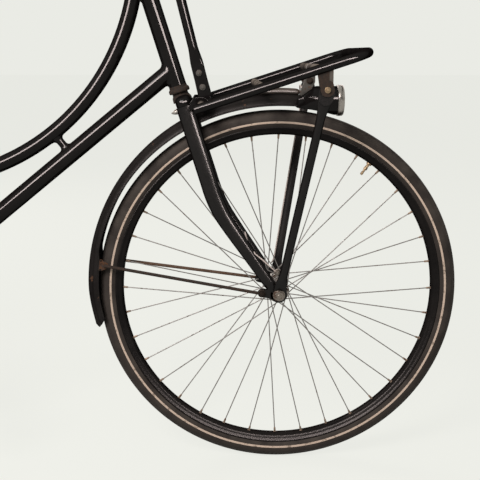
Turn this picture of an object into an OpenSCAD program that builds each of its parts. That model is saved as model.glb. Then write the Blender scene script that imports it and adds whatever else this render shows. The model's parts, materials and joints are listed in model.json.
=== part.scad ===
// Child's roadster bicycle with curved top tube, front carrier and rear bail stand.
// Millimetres. +X is forward, +Y is the rider's left, +Z is up. The origin lies on the
// floor, under the middle of the bicycle's length and width.

/* [Wheels] */
// Outer radius of the tyres
tyre_r = 331; // [324:1:338]
// Width of the tyres
tyre_w = 37; // [34:1:40]
// Depth of the rims
rim_deep = 15; // [13:0.5:17]
// Width of the rims
rim_w = 30; // [28:1:32]
// Spokes in each wheel
spoke_count = 36; // [28:4:36]
// Thickness of a spoke
spoke_d = 2; // [1.6:0.2:2.2]
// Radius of the wheel axles
axle_r = 4.7; // [4.4:0.1:5]

/* [Frame] */
// Slope of the steering axis from the floor, in degrees
head_angle = 72.3; // [70:0.1:74]
// Outer diameter of the head tube
head_d = 31.8; // [31:0.2:34]
// Length of the head tube
head_len = 272; // [262:1:300]
// Outer diameter of the down tube
down_d = 31.8; // [28:0.2:34]
// Slope of the down tube, in degrees
down_angle = 39.4; // [38:0.1:41]
// Length of the down tube's axis from the steering axis to the bottom bracket
down_len = 677; // [660:1:700]
// Outer diameter of the curved top tube
top_d = 28; // [26:0.5:30]
// Gap between the curved top tube and the down tube
tube_gap = 20.1; // [17:0.1:24]
// Slope of the top tube's straight end, in degrees
top_end_slope = 9; // [7:0.5:11]
// Outer diameter of the seat tube
seat_d = 28.6; // [27:0.2:31]
// Slope of the seat tube, in degrees
seat_angle = 68.5; // [67:0.1:70]
// Length of the seat tube from the bottom bracket
seat_len = 470; // [450:1:500]
// Length of the chain stays from the bottom bracket to the rear axle
stay_len = 450; // [445:1:470]
// Width between the rear dropouts
rear_gap = 120; // [118:1:130]
// Height of the rear tyre above the floor on the stand
rear_lift = 45; // [35:1:55]

/* [Fork] */
// Forward offset of the front axle from the steering axis
fork_rake = 61; // [55:1:66]
// Distance along the steering axis from the front axle to the crown's top
fork_len = 399; // [395:1:410]
// Bend of the fork blades, in degrees
blade_bend = 17.2; // [15:0.2:19]
// Fore and aft width of a blade at the crown
blade_top_w = 31; // [28:0.5:33]
// Fore and aft width of a blade at its tip
blade_tip_w = 22; // [20:0.5:24]
// Width between the fork ends
front_gap = 100; // [96:1:104]

/* [Mudguards] */
// Outer radius of the mudguards
guard_r = 357; // [354:1:362]
// Half width of the mudguards
guard_half = 27; // [25:0.5:29]
// Depth of the mudguards' section
guard_deep = 21; // [18:0.5:23]
// Thickness of the mudguards' sheet
guard_t = 1.5; // [1.2:0.1:2]

/* [Front carrier] */
// Half width of the carrier between tube centres
carrier_half = 150; // [140:1:158]
// Diameter of the carrier's tube
carrier_d = 16; // [14:0.5:18]
// Slope of the platform, in degrees
carrier_slope = 18; // [16:0.5:20]
// Forward reach of the platform past the front axle
carrier_front = 140; // [130:1:160]

/* [Handlebar and saddle] */
// Overall width of the handlebar
bar_width = 560; // [520:2:600]
// Diameter of the handlebar
bar_d = 22.2; // [21:0.2:25]
// Height of the saddle's clamp above the seat tube
post_out = 85; // [60:1:120]
// Diameter of the seat post
post_d = 25; // [23:0.2:27]

/* [Cranks and stand] */
// Length of the cranks
crank_len = 152; // [140:1:165]
// Angle of the right crank from forward, in degrees
crank_turn = -25; // [-60:1:60]
// Diameter of the stand's bar
stand_d = 12; // [10:1:14]

/* [Hidden] */
$fn = 48;

// Clearances: running fits, gaps between turning faces and seats of fixed pieces.
run_gap = 0.05;
face_gap = 0.3;
seat_gap = 0.2;

// Two axes that the whole bicycle is laid out from, in the x, z plane.
steer_up = [-cos(head_angle), 0, sin(head_angle)];
steer_fwd = [sin(head_angle), 0, cos(head_angle)];
seat_up = [-cos(seat_angle), 0, sin(seat_angle)];
seat_fwd = [sin(seat_angle), 0, cos(seat_angle)];
down_dir = [-cos(down_angle), 0, -sin(down_angle)];

// Heights along the steering axis, counted from the front axle.
crown_h = 30;
cup_h = 13;
cup_r = 19;
crown_low = fork_len - crown_h;
head_low = fork_len + face_gap + cup_h;
head_high = head_low + head_len;
cup_high = head_high + cup_h;
down_join = head_low + 30;
top_join = head_high - 38;
lock_h = 16;
stem_low = cup_high + face_gap + lock_h;

// Distances from the front axle to the bottom bracket and on to the rear axle.
bb_from_steer = (steer_up * down_join) - (steer_fwd * fork_rake) + (down_dir * down_len);
rear_drop = rear_lift - bb_from_steer[2];
rear_run = sqrt(stay_len * stay_len - rear_drop * rear_drop);
wheelbase = rear_run - bb_from_steer[0];
front_x = (wheelbase + guard_r - tyre_r) / 2;
front_axle = [front_x, 0, tyre_r];
bb = front_axle + bb_from_steer;
rear_axle = [front_x - wheelbase, 0, tyre_r + rear_lift];

// Hubs and wheel ends.
front_lock = front_gap / 2;
rear_lock = rear_gap / 2;
end_t = 5;
flange_r = 21;
flange_t = 3;
flange_y = 28;
barrel_r = 13;
hub_gap = 3;
rim_out = tyre_r - 0.81 * tyre_w;
rim_r = rim_out - rim_deep;
rim_wall = 3;
rim_bed = rim_out - 2 * rim_wall;

// Steerer, stem and headset.
steerer_r = 12.7;
steerer_bore = 11.1;
quill_r = 11;
quill_len = 120;
stem_r = 12.5;
stem_top = stem_low + 46;
bar_fwd = 64;
bar_clamp_r = 16;

// Fork blades: a straight part, one bend, then the raked part.
blade_bend_r = 240;
blade_tip_back = 3;
blade_tip_t = 22;
blade_top_y = 42;
blade_side_w = 0.66;
bend_run = blade_bend_r * sin(blade_bend);
bend_off = blade_bend_r * (1 - cos(blade_bend));
bend_low = (fork_rake - blade_tip_back - bend_off) / tan(blade_bend);
bend_high = bend_low + bend_run;

// Bottom bracket and cranks.
shell_r = 20;
shell_half = 34;
spindle_r = 8.5;
crank_in = 62;
crank_t = 14;
pedal_in = crank_in + crank_t + 5;
pedal_l = 92;
pedal_w = 66;
pedal_pin_r = 5;

// Chain case.
case_in = shell_half + seat_gap;
case_t = 20;
case_front_r = 100;
case_rear_r = 48;
tangent_in = 0.3;

// Stays.
cs_r = 8;
ss_r = 7;
stay_bend_y = 40;
stay_bend_at = 392;
stay_bend_r = 90;

// Rear carrier.
rack_r = 5;
rack_half = 60;

// Saddle.
saddle_clamp = bb + seat_up * (seat_len + post_out);
spring_x = -92;
spring_y = 52;
spring_r = 15;

paint = [0.05, 0.05, 0.06];
steel = [0.62, 0.62, 0.6];
rust = [0.36, 0.22, 0.14];
rubber = [0.1, 0.09, 0.08];

function unit(v) = v / norm(v);
function mirror_y(p, s) = [p[0], s * p[1], p[2]];

// A point beside the steering axis: height along it, forward offset and side.
function steer(t, fwd = 0, y = 0) = front_axle + steer_up * t + steer_fwd * (fwd - fork_rake) + [0, y, 0];

// A point beside the seat tube: height from the bottom bracket, forward offset and side.
function seat(t, fwd = 0, y = 0) = bb + seat_up * t + seat_fwd * fwd + [0, y, 0];

// A point given from the rear or front axle.
function rear(x, y, z) = rear_axle + [x, y, z];
function front(x, y, z) = front_axle + [x, y, z];

// Some direction square to v.
function square_to(v) = unit(cross(v, abs(v[1]) < 0.9 ? [0, 1, 0] : [1, 0, 0]));

// Sets children with their Z along z_dir and their origin at p.
module aim(p, z_dir, x_dir = undef) {
  z = unit(z_dir);
  x = is_undef(x_dir) ? square_to(z) : unit(x_dir - z * (x_dir * z));
  y = cross(z, x);
  multmatrix([
    [x[0], y[0], z[0], p[0]],
    [x[1], y[1], z[1], p[1]],
    [x[2], y[2], z[2], p[2]],
    [0, 0, 0, 1]
  ])
    children();
}

// A round bar from p to q.
module rod(p, q, r, r2 = undef) {
  aim(p, q - p)
    cylinder(h = norm(q - p), r1 = r, r2 = is_undef(r2) ? r : r2);
}

// A disc of thickness t from y0 towards +Y, round a point in the x, z plane.
module disc(p, y0, t, r) {
  translate([p[0], y0, p[2]])
    rotate([-90, 0, 0])
      cylinder(h = t, r = r);
}

// Turn between two legs of a path.
function turn(a, b, c) = acos(min(1, max(-1, unit(b - a) * unit(c - b))));

// Flat U of tube: two rails along +X from x = 0, round corners and a bar across their far ends.
module u_loop(length, half, r, bend) {
  for (s = [-1, 1]) {
    translate([0, s * half, 0])
      rotate([0, 90, 0])
        cylinder(h = length - bend, r = r);
    translate([length - bend, s * (half - bend), 0])
      rotate([0, 0, s > 0 ? 0 : -90])
        rotate_extrude(angle = 90)
          translate([bend, 0])
            circle(r);
  }
  translate([length, bend - half, 0])
    rotate([-90, 0, 0])
      cylinder(h = 2 * (half - bend), r = r);
}

// Skin over rings of points, each ring closed, all with the same count.
module skin(rings) {
  n = len(rings[0]);
  m = len(rings);
  polyhedron(
    points = [for (ring = rings) for (p = ring) p],
    faces = concat(
      [[for (k = [0 : n - 1]) k]],
      [for (j = [0 : m - 2]) for (k = [0 : n - 1]) [
        j * n + k, (j + 1) * n + k, (j + 1) * n + (k + 1) % n, j * n + (k + 1) % n
      ]],
      [[for (k = [n - 1 : -1 : 0]) (m - 1) * n + k]]
    ),
    convexity = 4
  );
}

// Points of a path with its inner corners rounded to one bend radius.
function corner(a, b, c, bend, n) =
  let (
    d0 = unit(b - a),
    d1 = unit(c - b),
    sweep = turn(a, b, c),
    inward = unit(d1 - d0 * (d0 * d1)),
    start = b - d0 * bend * tan(sweep / 2),
    mid = start + inward * bend
  )
  [for (k = [0 : n]) mid - inward * bend * cos(sweep * k / n) + d0 * bend * sin(sweep * k / n)];
function rounded(pts, bend, n) = concat(
  [pts[0]],
  [for (i = [1 : 1 : len(pts) - 2]) for (p = corner(pts[i - 1], pts[i], pts[i + 1], bend, n)) p],
  [pts[len(pts) - 1]]
);

// Direction of a path at its point i.
function heading(pts, i) =
  let (
    ahead = i == len(pts) - 1 ? [0, 0, 0] : unit(pts[i + 1] - pts[i]),
    behind = i == 0 ? [0, 0, 0] : unit(pts[i] - pts[i - 1])
  )
  unit(ahead + behind);

// Bent tube along a path that twists through space. The side vector is square to no part of it.
module sweep(pts, r, side, sides = 16) {
  skin([
    for (i = [0 : len(pts) - 1])
      let (
        d = heading(pts, i),
        u = unit(cross(side, d)),
        v = cross(d, u)
      )
      [for (k = [0 : sides - 1]) pts[i] + r * (u * cos(360 * k / sides) + v * sin(360 * k / sides))]
  ]);
}

// Main frame tubes.

module head_cylinder(r) {
  rod(steer(head_low), steer(head_high), r);
}

module head_tube() {
  color(paint)
    difference() {
      head_cylinder(head_d / 2);
      rod(steer(head_low - 1), steer(head_high + 1), head_d / 2 - 2.2);
    }
}

module cup(low) {
  difference() {
    rod(steer(low), steer(low + cup_h), cup_r);
    rod(steer(low - 1), steer(low + cup_h + 1), steerer_r + run_gap);
  }
}

module headset_cups() {
  color(rust) {
    cup(head_low - cup_h);
    cup(head_high);
  }
}

module down_tube() {
  color(paint)
    difference() {
      rod(steer(down_join), bb, down_d / 2);
      head_cylinder(head_d / 2);
      disc(bb, -shell_half - 1, 2 * shell_half + 2, shell_r);
      rod(seat(0), seat(3 * seat_d), seat_d / 2 + seat_gap);
    }
}

// Top tube: an arc that leaves the head tube steeply, then a straight run to the seat tube.
top_start_turn = -2;
top_start = [cos(top_start_turn), 0, sin(top_start_turn)];
down_square = [-sin(down_angle), 0, cos(down_angle)];
top_rise = (steer(top_join) - bb) * down_square;
top_bend_r = (top_rise - tube_gap - (top_d + down_d) / 2) / (1 + top_start * down_square);
top_centre = steer(top_join) - top_bend_r * top_start;
top_end_turn = top_end_slope - 90;
function on_top_arc(a) = top_centre + top_bend_r * [cos(a), 0, sin(a)];
top_run_dir = [-cos(top_end_slope), 0, -sin(top_end_slope)];
top_arc_end = on_top_arc(top_end_turn);
// Length of the straight run up to the seat tube's axis.
top_run = ((bb - top_arc_end) * seat_fwd) / (top_run_dir * seat_fwd);

module top_tube() {
  color(paint)
    difference() {
      translate(top_centre)
        rotate([90, 0, 0])
          rotate([0, 0, top_end_turn]) {
            rotate_extrude(angle = top_start_turn - top_end_turn, $fn = 96)
              translate([top_bend_r, 0])
                circle(top_d / 2);
            translate([top_bend_r, 0, 0])
              rotate([90, 0, 0])
                cylinder(h = top_run, r = top_d / 2);
          }
      head_cylinder(head_d / 2);
      rod(seat(0), seat(seat_len), seat_d / 2);
    }
}

// Bridge between the top and down tubes, square to the down tube.
bridge_back = 8;
bridge_r = 7;
bridge_at = (top_centre - steer(down_join)) * down_dir + bridge_back;
bridge_len = (down_d + top_d) / 2 + tube_gap;
module tube_bridge() {
  p = steer(down_join) + down_dir * bridge_at;
  color(paint)
    difference() {
      rod(p, p + down_square * bridge_len, bridge_r);
      rod(steer(down_join), bb, down_d / 2);
      translate(top_centre)
        rotate([90, 0, 0])
          rotate_extrude($fn = 96)
            translate([top_bend_r, 0])
              circle(top_d / 2);
    }
}

module seat_tube() {
  color(paint)
    difference() {
      union() {
        rod(seat(0), seat(seat_len), seat_d / 2);
        rod(seat(seat_len - 32), seat(seat_len - 4), seat_d / 2 + 2.5);
      }
      disc(bb, -shell_half - 1, 2 * shell_half + 2, shell_r);
      rod(seat(seat_len - 140), seat(seat_len + 1), post_d / 2);
    }
}

module bottom_bracket() {
  color(paint)
    difference() {
      disc(bb, -shell_half, 2 * shell_half, shell_r);
      disc(bb, -shell_half - 1, 2 * shell_half + 2, spindle_r + run_gap);
    }
}

// Rear triangle.

drop_y = rear_lock + end_t / 2;
drop_fwd = 46;
drop_up = 44;
stay_dir = unit(bb - rear_axle);

function chain_stay_path(s) = [
  mirror_y(rear_axle + stay_dir * (stay_len - 6) + [0, 24, 0], s),
  mirror_y(rear_axle + stay_dir * stay_bend_at + [0, stay_bend_y, 0], s),
  mirror_y(rear_axle + stay_dir * drop_fwd + [0, drop_y, 0], s)
];

module chain_stays() {
  color(paint)
    difference() {
      for (s = [-1, 1])
        sweep(rounded(chain_stay_path(s), stay_bend_r, 5), cs_r, [0, 0, 1]);
      disc(bb, -shell_half - 1, 2 * shell_half + 2, shell_r);
      dropout_plates();
    }
}

seat_stay_top = seat(seat_len - 20);
seat_stay_dir = unit(seat_stay_top - rear_axle);
function seat_stay_path(s) = [
  mirror_y(seat_stay_top + [0, 22, 0], s),
  mirror_y(rear_axle + seat_stay_dir * stay_bend_at + [0, stay_bend_y, 0], s),
  mirror_y(rear_axle + seat_stay_dir * drop_up + [0, drop_y, 0], s)
];

module seat_stays() {
  color(paint)
    difference() {
      for (s = [-1, 1])
        sweep(rounded(seat_stay_path(s), stay_bend_r, 5), ss_r, [1, 0, 0]);
      rod(seat(0), seat(seat_len + 5), seat_d / 2 + 2.5);
      dropout_plates();
    }
}

// Dropout: a plate with arms to the two stays and a tab for the carrier and the guard's stays.
tab_x = -34;
tab_z = 56;
eye_x = -56;
eye_z = 26;
spare_x = -47;
spare_z = 42;
eye_r = 2.6;
module dropout_outline() {
  chain_end = stay_dir * drop_fwd;
  seat_end = seat_stay_dir * drop_up;
  difference() {
    union() {
      circle(17);
      for (e = [[chain_end, cs_r], [seat_end, ss_r]])
        polygon([
          [-8, -9], [9, -9],
          [e[0][0] + e[1] * (e[0] == chain_end ? 0 : 0.7), e[0][2] - e[1] * 0.7],
          [e[0][0], e[0][2] + e[1] * 0.7], [-6, 12]
        ]);
      polygon([[-10, 10], [10, 14], [tab_x + 6, tab_z + 5], [tab_x - 6, tab_z - 5]]);
      polygon([[-12, -10], [0, 14], [eye_x + 3, eye_z + 6], [eye_x - 5, eye_z - 5]]);
      polygon([
        [tab_x - 5, tab_z + 5], [tab_x + 12, tab_z - 12], [eye_x + 6, eye_z - 4], [eye_x - 6, eye_z + 4]
      ]);
      for (e = [[tab_x, tab_z], [spare_x, spare_z], [eye_x, eye_z]])
        translate(e)
          circle(7);
    }
    circle(axle_r + run_gap);
    translate([spare_x, spare_z])
      circle(eye_r);
  }
}

module dropout_plates() {
  for (s = [-1, 1])
    translate([rear_axle[0], s * drop_y + end_t / 2, rear_axle[2]])
      rotate([90, 0, 0])
        linear_extrude(end_t)
          dropout_outline();
}

module rear_dropouts() {
  color(paint)
    dropout_plates();
}

// Axle with its cones inside and its nuts outside. The gap between ends takes wheel and stand.
module axle_pin(c, lock, eye_t, nut_t = 8) {
  out = lock + end_t + eye_t;
  disc(c, -out - nut_t - 5, 2 * (out + nut_t + 5), axle_r);
  for (s = [-1, 1]) {
    disc(c, s > 0 ? lock - hub_gap : -lock, hub_gap, 8);
    disc(c, s > 0 ? out : -out - 2, 2, 11);
    translate([c[0], s > 0 ? out + 2 : -out - 2 - nut_t, c[2]])
      rotate([-90, 0, 0])
        cylinder(h = nut_t, r = 8.6, $fn = 6);
  }
}

stand_eye_t = 5;
module rear_axle_pin() {
  color(steel)
    axle_pin(rear_axle, rear_lock, stand_eye_t + 2 * face_gap);
}

// Chain case: two rounds joined by their common tangents, cut where the chain stay crosses it.
module case_outline(grow) {
  d = bb - rear_axle;
  dist = norm(d);
  lean = atan2(d[2], d[0]);
  ra = case_rear_r + grow;
  rb = case_front_r + grow;
  side = acos((ra - rb) / dist);
  ta = ra - tangent_in;
  tb = rb - tangent_in;
  circle(ra, $fn = 96);
  translate([d[0], d[2]])
    circle(rb, $fn = 96);
  polygon([
    ta * [cos(lean + side), sin(lean + side)],
    ta * [cos(lean - side), sin(lean - side)],
    [d[0], d[2]] + tb * [cos(lean - side), sin(lean - side)],
    [d[0], d[2]] + tb * [cos(lean + side), sin(lean + side)]
  ]);
}

module chain_case() {
  lip = 3;
  stay_run = chain_stay_path(-1)[2] - chain_stay_path(-1)[1];
  inner_end = chain_stay_path(-1)[1] - unit(stay_run) * 60;
  color(paint)
    difference() {
      translate([rear_axle[0], -case_in, rear_axle[2]])
        rotate([90, 0, 0])
          union() {
            linear_extrude(case_t - lip)
              case_outline(0);
            translate([0, 0, lip])
              linear_extrude(case_t - lip)
                case_outline(-lip);
          }
      rod(inner_end, chain_stay_path(-1)[2], cs_r + 1);
      disc(bb, -100, 100, 14);
      disc(rear_axle, -100, 100, 16);
    }
}

// Mudguards: an arched channel turned round the axle.
guard_arch_r = (guard_half * guard_half + guard_deep * guard_deep) / (2 * guard_deep);
module guard_section(r) {
  intersection() {
    translate([r - guard_arch_r, 0])
      difference() {
        circle(guard_arch_r);
        circle(guard_arch_r - guard_t);
      }
    translate([r - guard_deep, -guard_half - 1])
      square([guard_deep + 1, 2 * guard_half + 2]);
  }
}

// Angles count from forward, upwards over the wheel.
module guard_ring(c, r, from, to) {
  translate(c)
    rotate([90, 0, 0])
      rotate([0, 0, from])
        rotate_extrude(angle = to - from, $fn = 128)
          guard_section(r);
}

front_guard_from = 83.5;
front_guard_to = 194;
tail_from = 187;
front_guard_r = guard_r - 5;
front_guard_lift = 8;
front_guard_mid = front(0, 0, front_guard_lift);
crest_half = 11;
crest_h = 10;
crest_to = 109;
rear_guard_from = 2;
rear_guard_to = 205;

// Front guard: lifted off the axle's centre, cut on a slant at the tail, with a rib ahead of the crown.
module front_mudguard() {
  edge = front_guard_r - guard_deep - 1;
  over = front_guard_r + 1;
  past = front_guard_to + 4;
  color(paint) {
    difference() {
      guard_ring(front_guard_mid, front_guard_r, front_guard_from, front_guard_to);
      translate([front_guard_mid[0], guard_half + 1, front_guard_mid[2]])
        rotate([90, 0, 0])
          linear_extrude(2 * guard_half + 2)
            polygon([
              edge * [cos(tail_from), sin(tail_from)], over * [cos(front_guard_to), sin(front_guard_to)],
              over * [cos(past), sin(past)], edge * [cos(past), sin(past)]
            ]);
    }
    translate(front_guard_mid)
      rotate([90, 0, 0])
        rotate([0, 0, front_guard_from])
          rotate_extrude(angle = crest_to - front_guard_from, $fn = 128)
            translate([front_guard_r + seat_gap, 0])
              polygon([
                [0, -crest_half], [crest_h / 2, -crest_half], [crest_h, -crest_half / 2],
                [crest_h, crest_half / 2], [crest_h / 2, crest_half], [0, crest_half]
              ]);
    difference() {
      rod(front_guard_mid, steer(crown_low - seat_gap), 8);
      disc(front_guard_mid, -20, 40, front_guard_r - 1);
    }
  }
}

module rear_mudguard() {
  p = rear_axle + (bb - rear_axle) * seat_fwd * seat_fwd;
  color(paint)
    difference() {
      union() {
        guard_ring(rear_axle, guard_r, rear_guard_from, rear_guard_to);
        difference() {
          rod(rear_axle, p, 8);
          disc(rear_axle, -20, 40, guard_r - 1);
        }
      }
      rod(seat(0), seat(seat_len), seat_d / 2 + seat_gap);
    }
}

// A rod from an eye on a fork end or dropout to the edge of a guard.
stay_eye_r = 7;
module guard_stay(eye, tip, r, face) {
  eye_t = abs(eye[1] - face) + r / 2;
  rod(eye, tip, r);
  disc(eye, min(face, face + sign(eye[1] - face) * eye_t), eye_t, stay_eye_r);
}

front_stay_r = 2.6;
guard_edge_r = guard_r - guard_deep;
stay_out = front_stay_r + 1;
stay_tip_y = guard_half + front_stay_r + seat_gap;
stay_lug = [-31, 3];
bracket_t = 2;
bracket_turn = 2.8;
function stay_tip(c, edge, a, s) = c + (edge + 4) * [cos(a), 0, sin(a)] + [0, s * stay_tip_y, 0];

// Stays with a three-cornered bracket on the guard's edge.
module front_guard_stays() {
  tip_turn = 173;
  face = front_lock + end_t + seat_gap;
  edge = front_guard_r - guard_deep;
  bracket_y = guard_half + seat_gap;
  color(rust)
    for (s = [-1, 1]) {
      eye = front(stay_lug[0], s * (face + stay_out), stay_lug[1]);
      guard_stay(eye, stay_tip(front_guard_mid, edge, tip_turn, s), front_stay_r, s * face);
      translate([front_guard_mid[0], s > 0 ? bracket_y + bracket_t : -bracket_y, front_guard_mid[2]])
        rotate([90, 0, 0])
          linear_extrude(bracket_t)
            polygon([
              (edge + 7) * [cos(tip_turn - bracket_turn), sin(tip_turn - bracket_turn)],
              (edge + 7) * [cos(tip_turn + bracket_turn), sin(tip_turn + bracket_turn)],
              (edge - 16) * [cos(tip_turn), sin(tip_turn)]
            ]);
    }
}

module rear_guard_stays() {
  tip_turn = 178;
  face = rear_lock - seat_gap;
  color(paint)
    for (s = [-1, 1]) {
      eye = rear(eye_x, s * (face - stay_out), eye_z);
      guard_stay(eye, stay_tip(rear_axle, guard_edge_r, tip_turn, s), front_stay_r, s * face);
    }
}

// Rear carrier: a loop over the wheel, bars across it, two struts down and two arms forward.
saddle_room = 8;
rack_front = saddle_clamp[0] + spring_x - spring_r - saddle_room - rear_axle[0];
rack_back = -205;
rack_up = guard_r + 24;
rack_bend = 30;
bar_r = 4;
rack_len = rack_front - rack_back;
bar_shares = [0.04, 0.34, 0.62, 0.88];
module rear_carrier() {
  color(paint)
    aim(rear(rack_front, 0, rack_up), [0, 0, 1], [-1, 0, 0])
      u_loop(rack_len, rack_half, rack_r, rack_bend);
}

module rear_carrier_bars() {
  color(paint)
    for (share = bar_shares)
      cross_bar(rear(rack_front - share * rack_len, 0, rack_up), rack_half, bar_r, rack_r, [1, 0, 0]);
}

// A bar across two rails, its ends cut to sit round them.
module cross_bar(c, half, r, rail, along) {
  difference() {
    rod(c - [0, half, 0], c + [0, half, 0], r);
    for (s = [-1, 1])
      rod(c + [0, s * half, 0] - along * 30, c + [0, s * half, 0] + along * 30, rail);
  }
}

strut_foot_r = 7;
arm_share = 0.1;
module rear_carrier_struts() {
  strut_y = rack_half - rack_r - seat_gap - bar_r;
  foot_y = rear_lock - seat_gap;
  arm_x = rack_front - bar_r - 2;
  color(paint)
    for (s = [-1, 1]) {
      rod(rear(tab_x, s * (foot_y - bar_r), tab_z), rear(2 * tab_x, s * strut_y, rack_up), bar_r);
      disc(rear(tab_x, 0, tab_z), s > 0 ? foot_y - bar_r : -foot_y, bar_r, strut_foot_r);
      stay = seat_stay_path(s);
      low = stay[1] + (stay[0] - stay[1]) * arm_share;
      rod(rear(arm_x, s * strut_y, rack_up), low + [-2, s * (ss_r + bar_r + seat_gap), 0], bar_r);
    }
}

lamp_back_t = 22;
lamp_back_w = 70;
lamp_back_h = 34;
module rear_lamp() {
  c = rear(rack_back - rack_r - seat_gap, 0, rack_up);
  color([0.5, 0.05, 0.04])
    translate(c)
      rotate([0, -90, 0])
        linear_extrude(lamp_back_t) {
          square([lamp_back_h, lamp_back_w], center = true);
          for (s = [-1, 1])
            translate([0, s * lamp_back_w / 2])
              circle(lamp_back_h / 2);
        }
}

// Saddle.

module seat_post() {
  color(steel)
    rod(seat(seat_len - 130), seat(seat_len + post_out), post_d / 2 - run_gap);
}

saddle_w = 205;
saddle_l = 262;
saddle_pad_z = 42;
spring_base = 1;
spring_h = saddle_pad_z - 1.2;
spring_coils = 6;
wire_r = 3.6;
clamp_r = 15;
clamp_half = 27;

// Two bent wires from the springs to the saddle's nose, held in one clamp on the post.
module saddle_frame() {
  c = saddle_clamp;
  low = spring_base - wire_r - seat_gap - 0.2;
  nose = saddle_l / 2 - 9;
  color(steel)
    difference() {
      union() {
        disc(c, -clamp_half, 2 * clamp_half, clamp_r);
        for (s = [-1, 1])
          sweep(rounded([
            c + [spring_x, s * spring_y, low], c + [spring_x + 32, s * 22, low],
            c + [saddle_l / 4, s * 18, wire_r], c + [nose, s * 8, saddle_pad_z - 8]
          ], clamp_r, 3), wire_r, [0, 0, 1], 10);
      }
      rod(seat(seat_len), seat(seat_len + post_out + 1), post_d / 2);
    }
}

module saddle_springs() {
  pitch = spring_h / spring_coils;
  color(steel)
    for (s = [-1, 1])
      translate(saddle_clamp + [spring_x, s * spring_y, spring_base])
        rotate_extrude()
          polygon(concat(
            [[0, 0], [spring_r - 4, 0]],
            [for (k = [0 : spring_coils - 1]) for (e = [[-3, 0.1], [0, 0.35], [0, 0.65], [-3, 0.9]])
              [spring_r + e[0], (k + e[1]) * pitch]],
            [[spring_r - 4, spring_h], [0, spring_h]]
          ));
}

// Leather top: [forward share of the length, side share of the width, height, radius].
saddle_balls = [
  [-0.305, 0.333, 14, 14], [-0.115, 0.275, 22, 18], [-0.38, 0, 18, 16], [0.5, 0, 16, 15]
];
module saddle_top() {
  c = saddle_clamp + [0, 0, saddle_pad_z];
  color([0.06, 0.06, 0.06])
    hull()
      for (ball = saddle_balls)
        for (s = [-1, 1])
          translate(c + [ball[0] * saddle_l, s * ball[1] * saddle_w, ball[2]])
            sphere(r = ball[3], $fn = 32);
}

// Fork.

neck_r = 14.6;
module crown_outline() {
  for (s = [-1, 1])
    translate([0, s * blade_top_y])
      circle(blade_top_w / 2 + 1);
  square([blade_top_w - 2, 2 * blade_top_y], center = true);
}

module fork_crown() {
  color(paint)
    difference() {
      union() {
        aim(steer(crown_low), steer_up, steer_fwd)
          linear_extrude(crown_h - 5)
            crown_outline();
        rod(steer(crown_low), steer(fork_len), neck_r);
        rod(steer(crown_low), steer(stem_low), steerer_r);
        rod(steer(cup_high + face_gap), steer(stem_low), cup_r - 1);
      }
      rod(steer(crown_low - 1), steer(stem_low + 1), steerer_bore);
    }
}

// Axis of a blade by height, and the forward width of the blade there.
function blade_fwd(t) =
  t > bend_high ? 0 :
  t > bend_low ? blade_bend_r - sqrt(pow(blade_bend_r, 2) - pow(bend_high - t, 2)) :
  bend_off + (bend_low - t) * tan(blade_bend);
function blade_y(t) =
  front_lock + end_t / 2 - (front_lock + end_t / 2 - blade_top_y) * t / crown_low;
function blade_w(t) = blade_tip_w + (blade_top_w - blade_tip_w) * min(1, t / 190);
blade_sides = 24;
blade_rings = 20;
function blade_ring(t, s) = [
  for (k = [0 : blade_sides - 1])
    let (a = 360 * k / blade_sides, half = blade_w(t) / 2)
      steer(t, blade_fwd(t) + half * cos(a), s * blade_y(t) + blade_side_w * half * sin(a))
];

module fork_blade(s) {
  top = crown_low - seat_gap;
  low = blade_tip_t;
  color(paint)
    difference() {
      union() {
        skin([for (j = [0 : blade_rings]) blade_ring(low + (top - low) * j / blade_rings, s)]);
        translate([0, s * (front_lock + end_t / 2) + end_t / 2, 0])
          rotate([90, 0, 0])
            linear_extrude(end_t) {
              translate([front_axle[0], front_axle[2]])
                circle(15);
              polygon([
                for (e = [[-4, -9], [-4, 9], [42, 9], [42, -9]])
                  let (p = steer(e[0], blade_fwd(max(0, e[0])) + e[1]))
                    [p[0], p[2]]
              ]);
              translate([front_axle[0] - 31, front_axle[2] + 3])
                circle(7);
              polygon([
                [front_axle[0] - 31, front_axle[2] - 4], [front_axle[0], front_axle[2] - 12],
                [front_axle[0], front_axle[2] + 14], [front_axle[0] - 31, front_axle[2] + 10]
              ]);
            }
      }
      disc(front_axle, -100, 200, axle_r + run_gap);
    }
}

module fork_blade_right() {
  fork_blade(-1);
}

module fork_blade_left() {
  fork_blade(1);
}

strut_eye_t = 3;
module front_axle_pin() {
  color(steel)
    axle_pin(front_axle, front_lock, strut_eye_t + seat_gap);
}

// Front carrier.

carrier_low = -150;
carrier_z0 = 339.4;
function on_carrier(x, y, up = 0) = front(x, y, carrier_z0 + (x - carrier_low) * tan(carrier_slope) + up);
rail_r = carrier_d / 2;
carrier_bend = 42;
carrier_dir = [cos(carrier_slope), 0, sin(carrier_slope)];

module carrier_loop() {
  color(paint)
    aim(on_carrier(carrier_low, 0), cross(carrier_dir, [0, 1, 0]), carrier_dir)
      u_loop((carrier_front - carrier_low) / cos(carrier_slope), carrier_half, rail_r, carrier_bend);
}

strut_x = 68;
strut_drop = 38;
tab_t = 3;
tab_w = 18;
cross_at = [-140, -38, 57];
cross_r = 7;
module carrier_bars() {
  color(paint) {
    for (x = cross_at)
      cross_bar(on_carrier(x, 0), carrier_half, cross_r, rail_r, carrier_dir);
    for (s = [-1, 1])
      difference() {
        translate(on_carrier(strut_x, s * carrier_half) - [tab_w / 2, tab_t / 2, strut_drop + tab_w / 2])
          cube([tab_w, tab_t, strut_drop + tab_w / 2]);
        rod(on_carrier(0, s * carrier_half), on_carrier(carrier_front, s * carrier_half), rail_r);
      }
  }
}

strut_r = 7;
strut_head_r = 9;
strut_foot_eye_r = 11;

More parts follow.
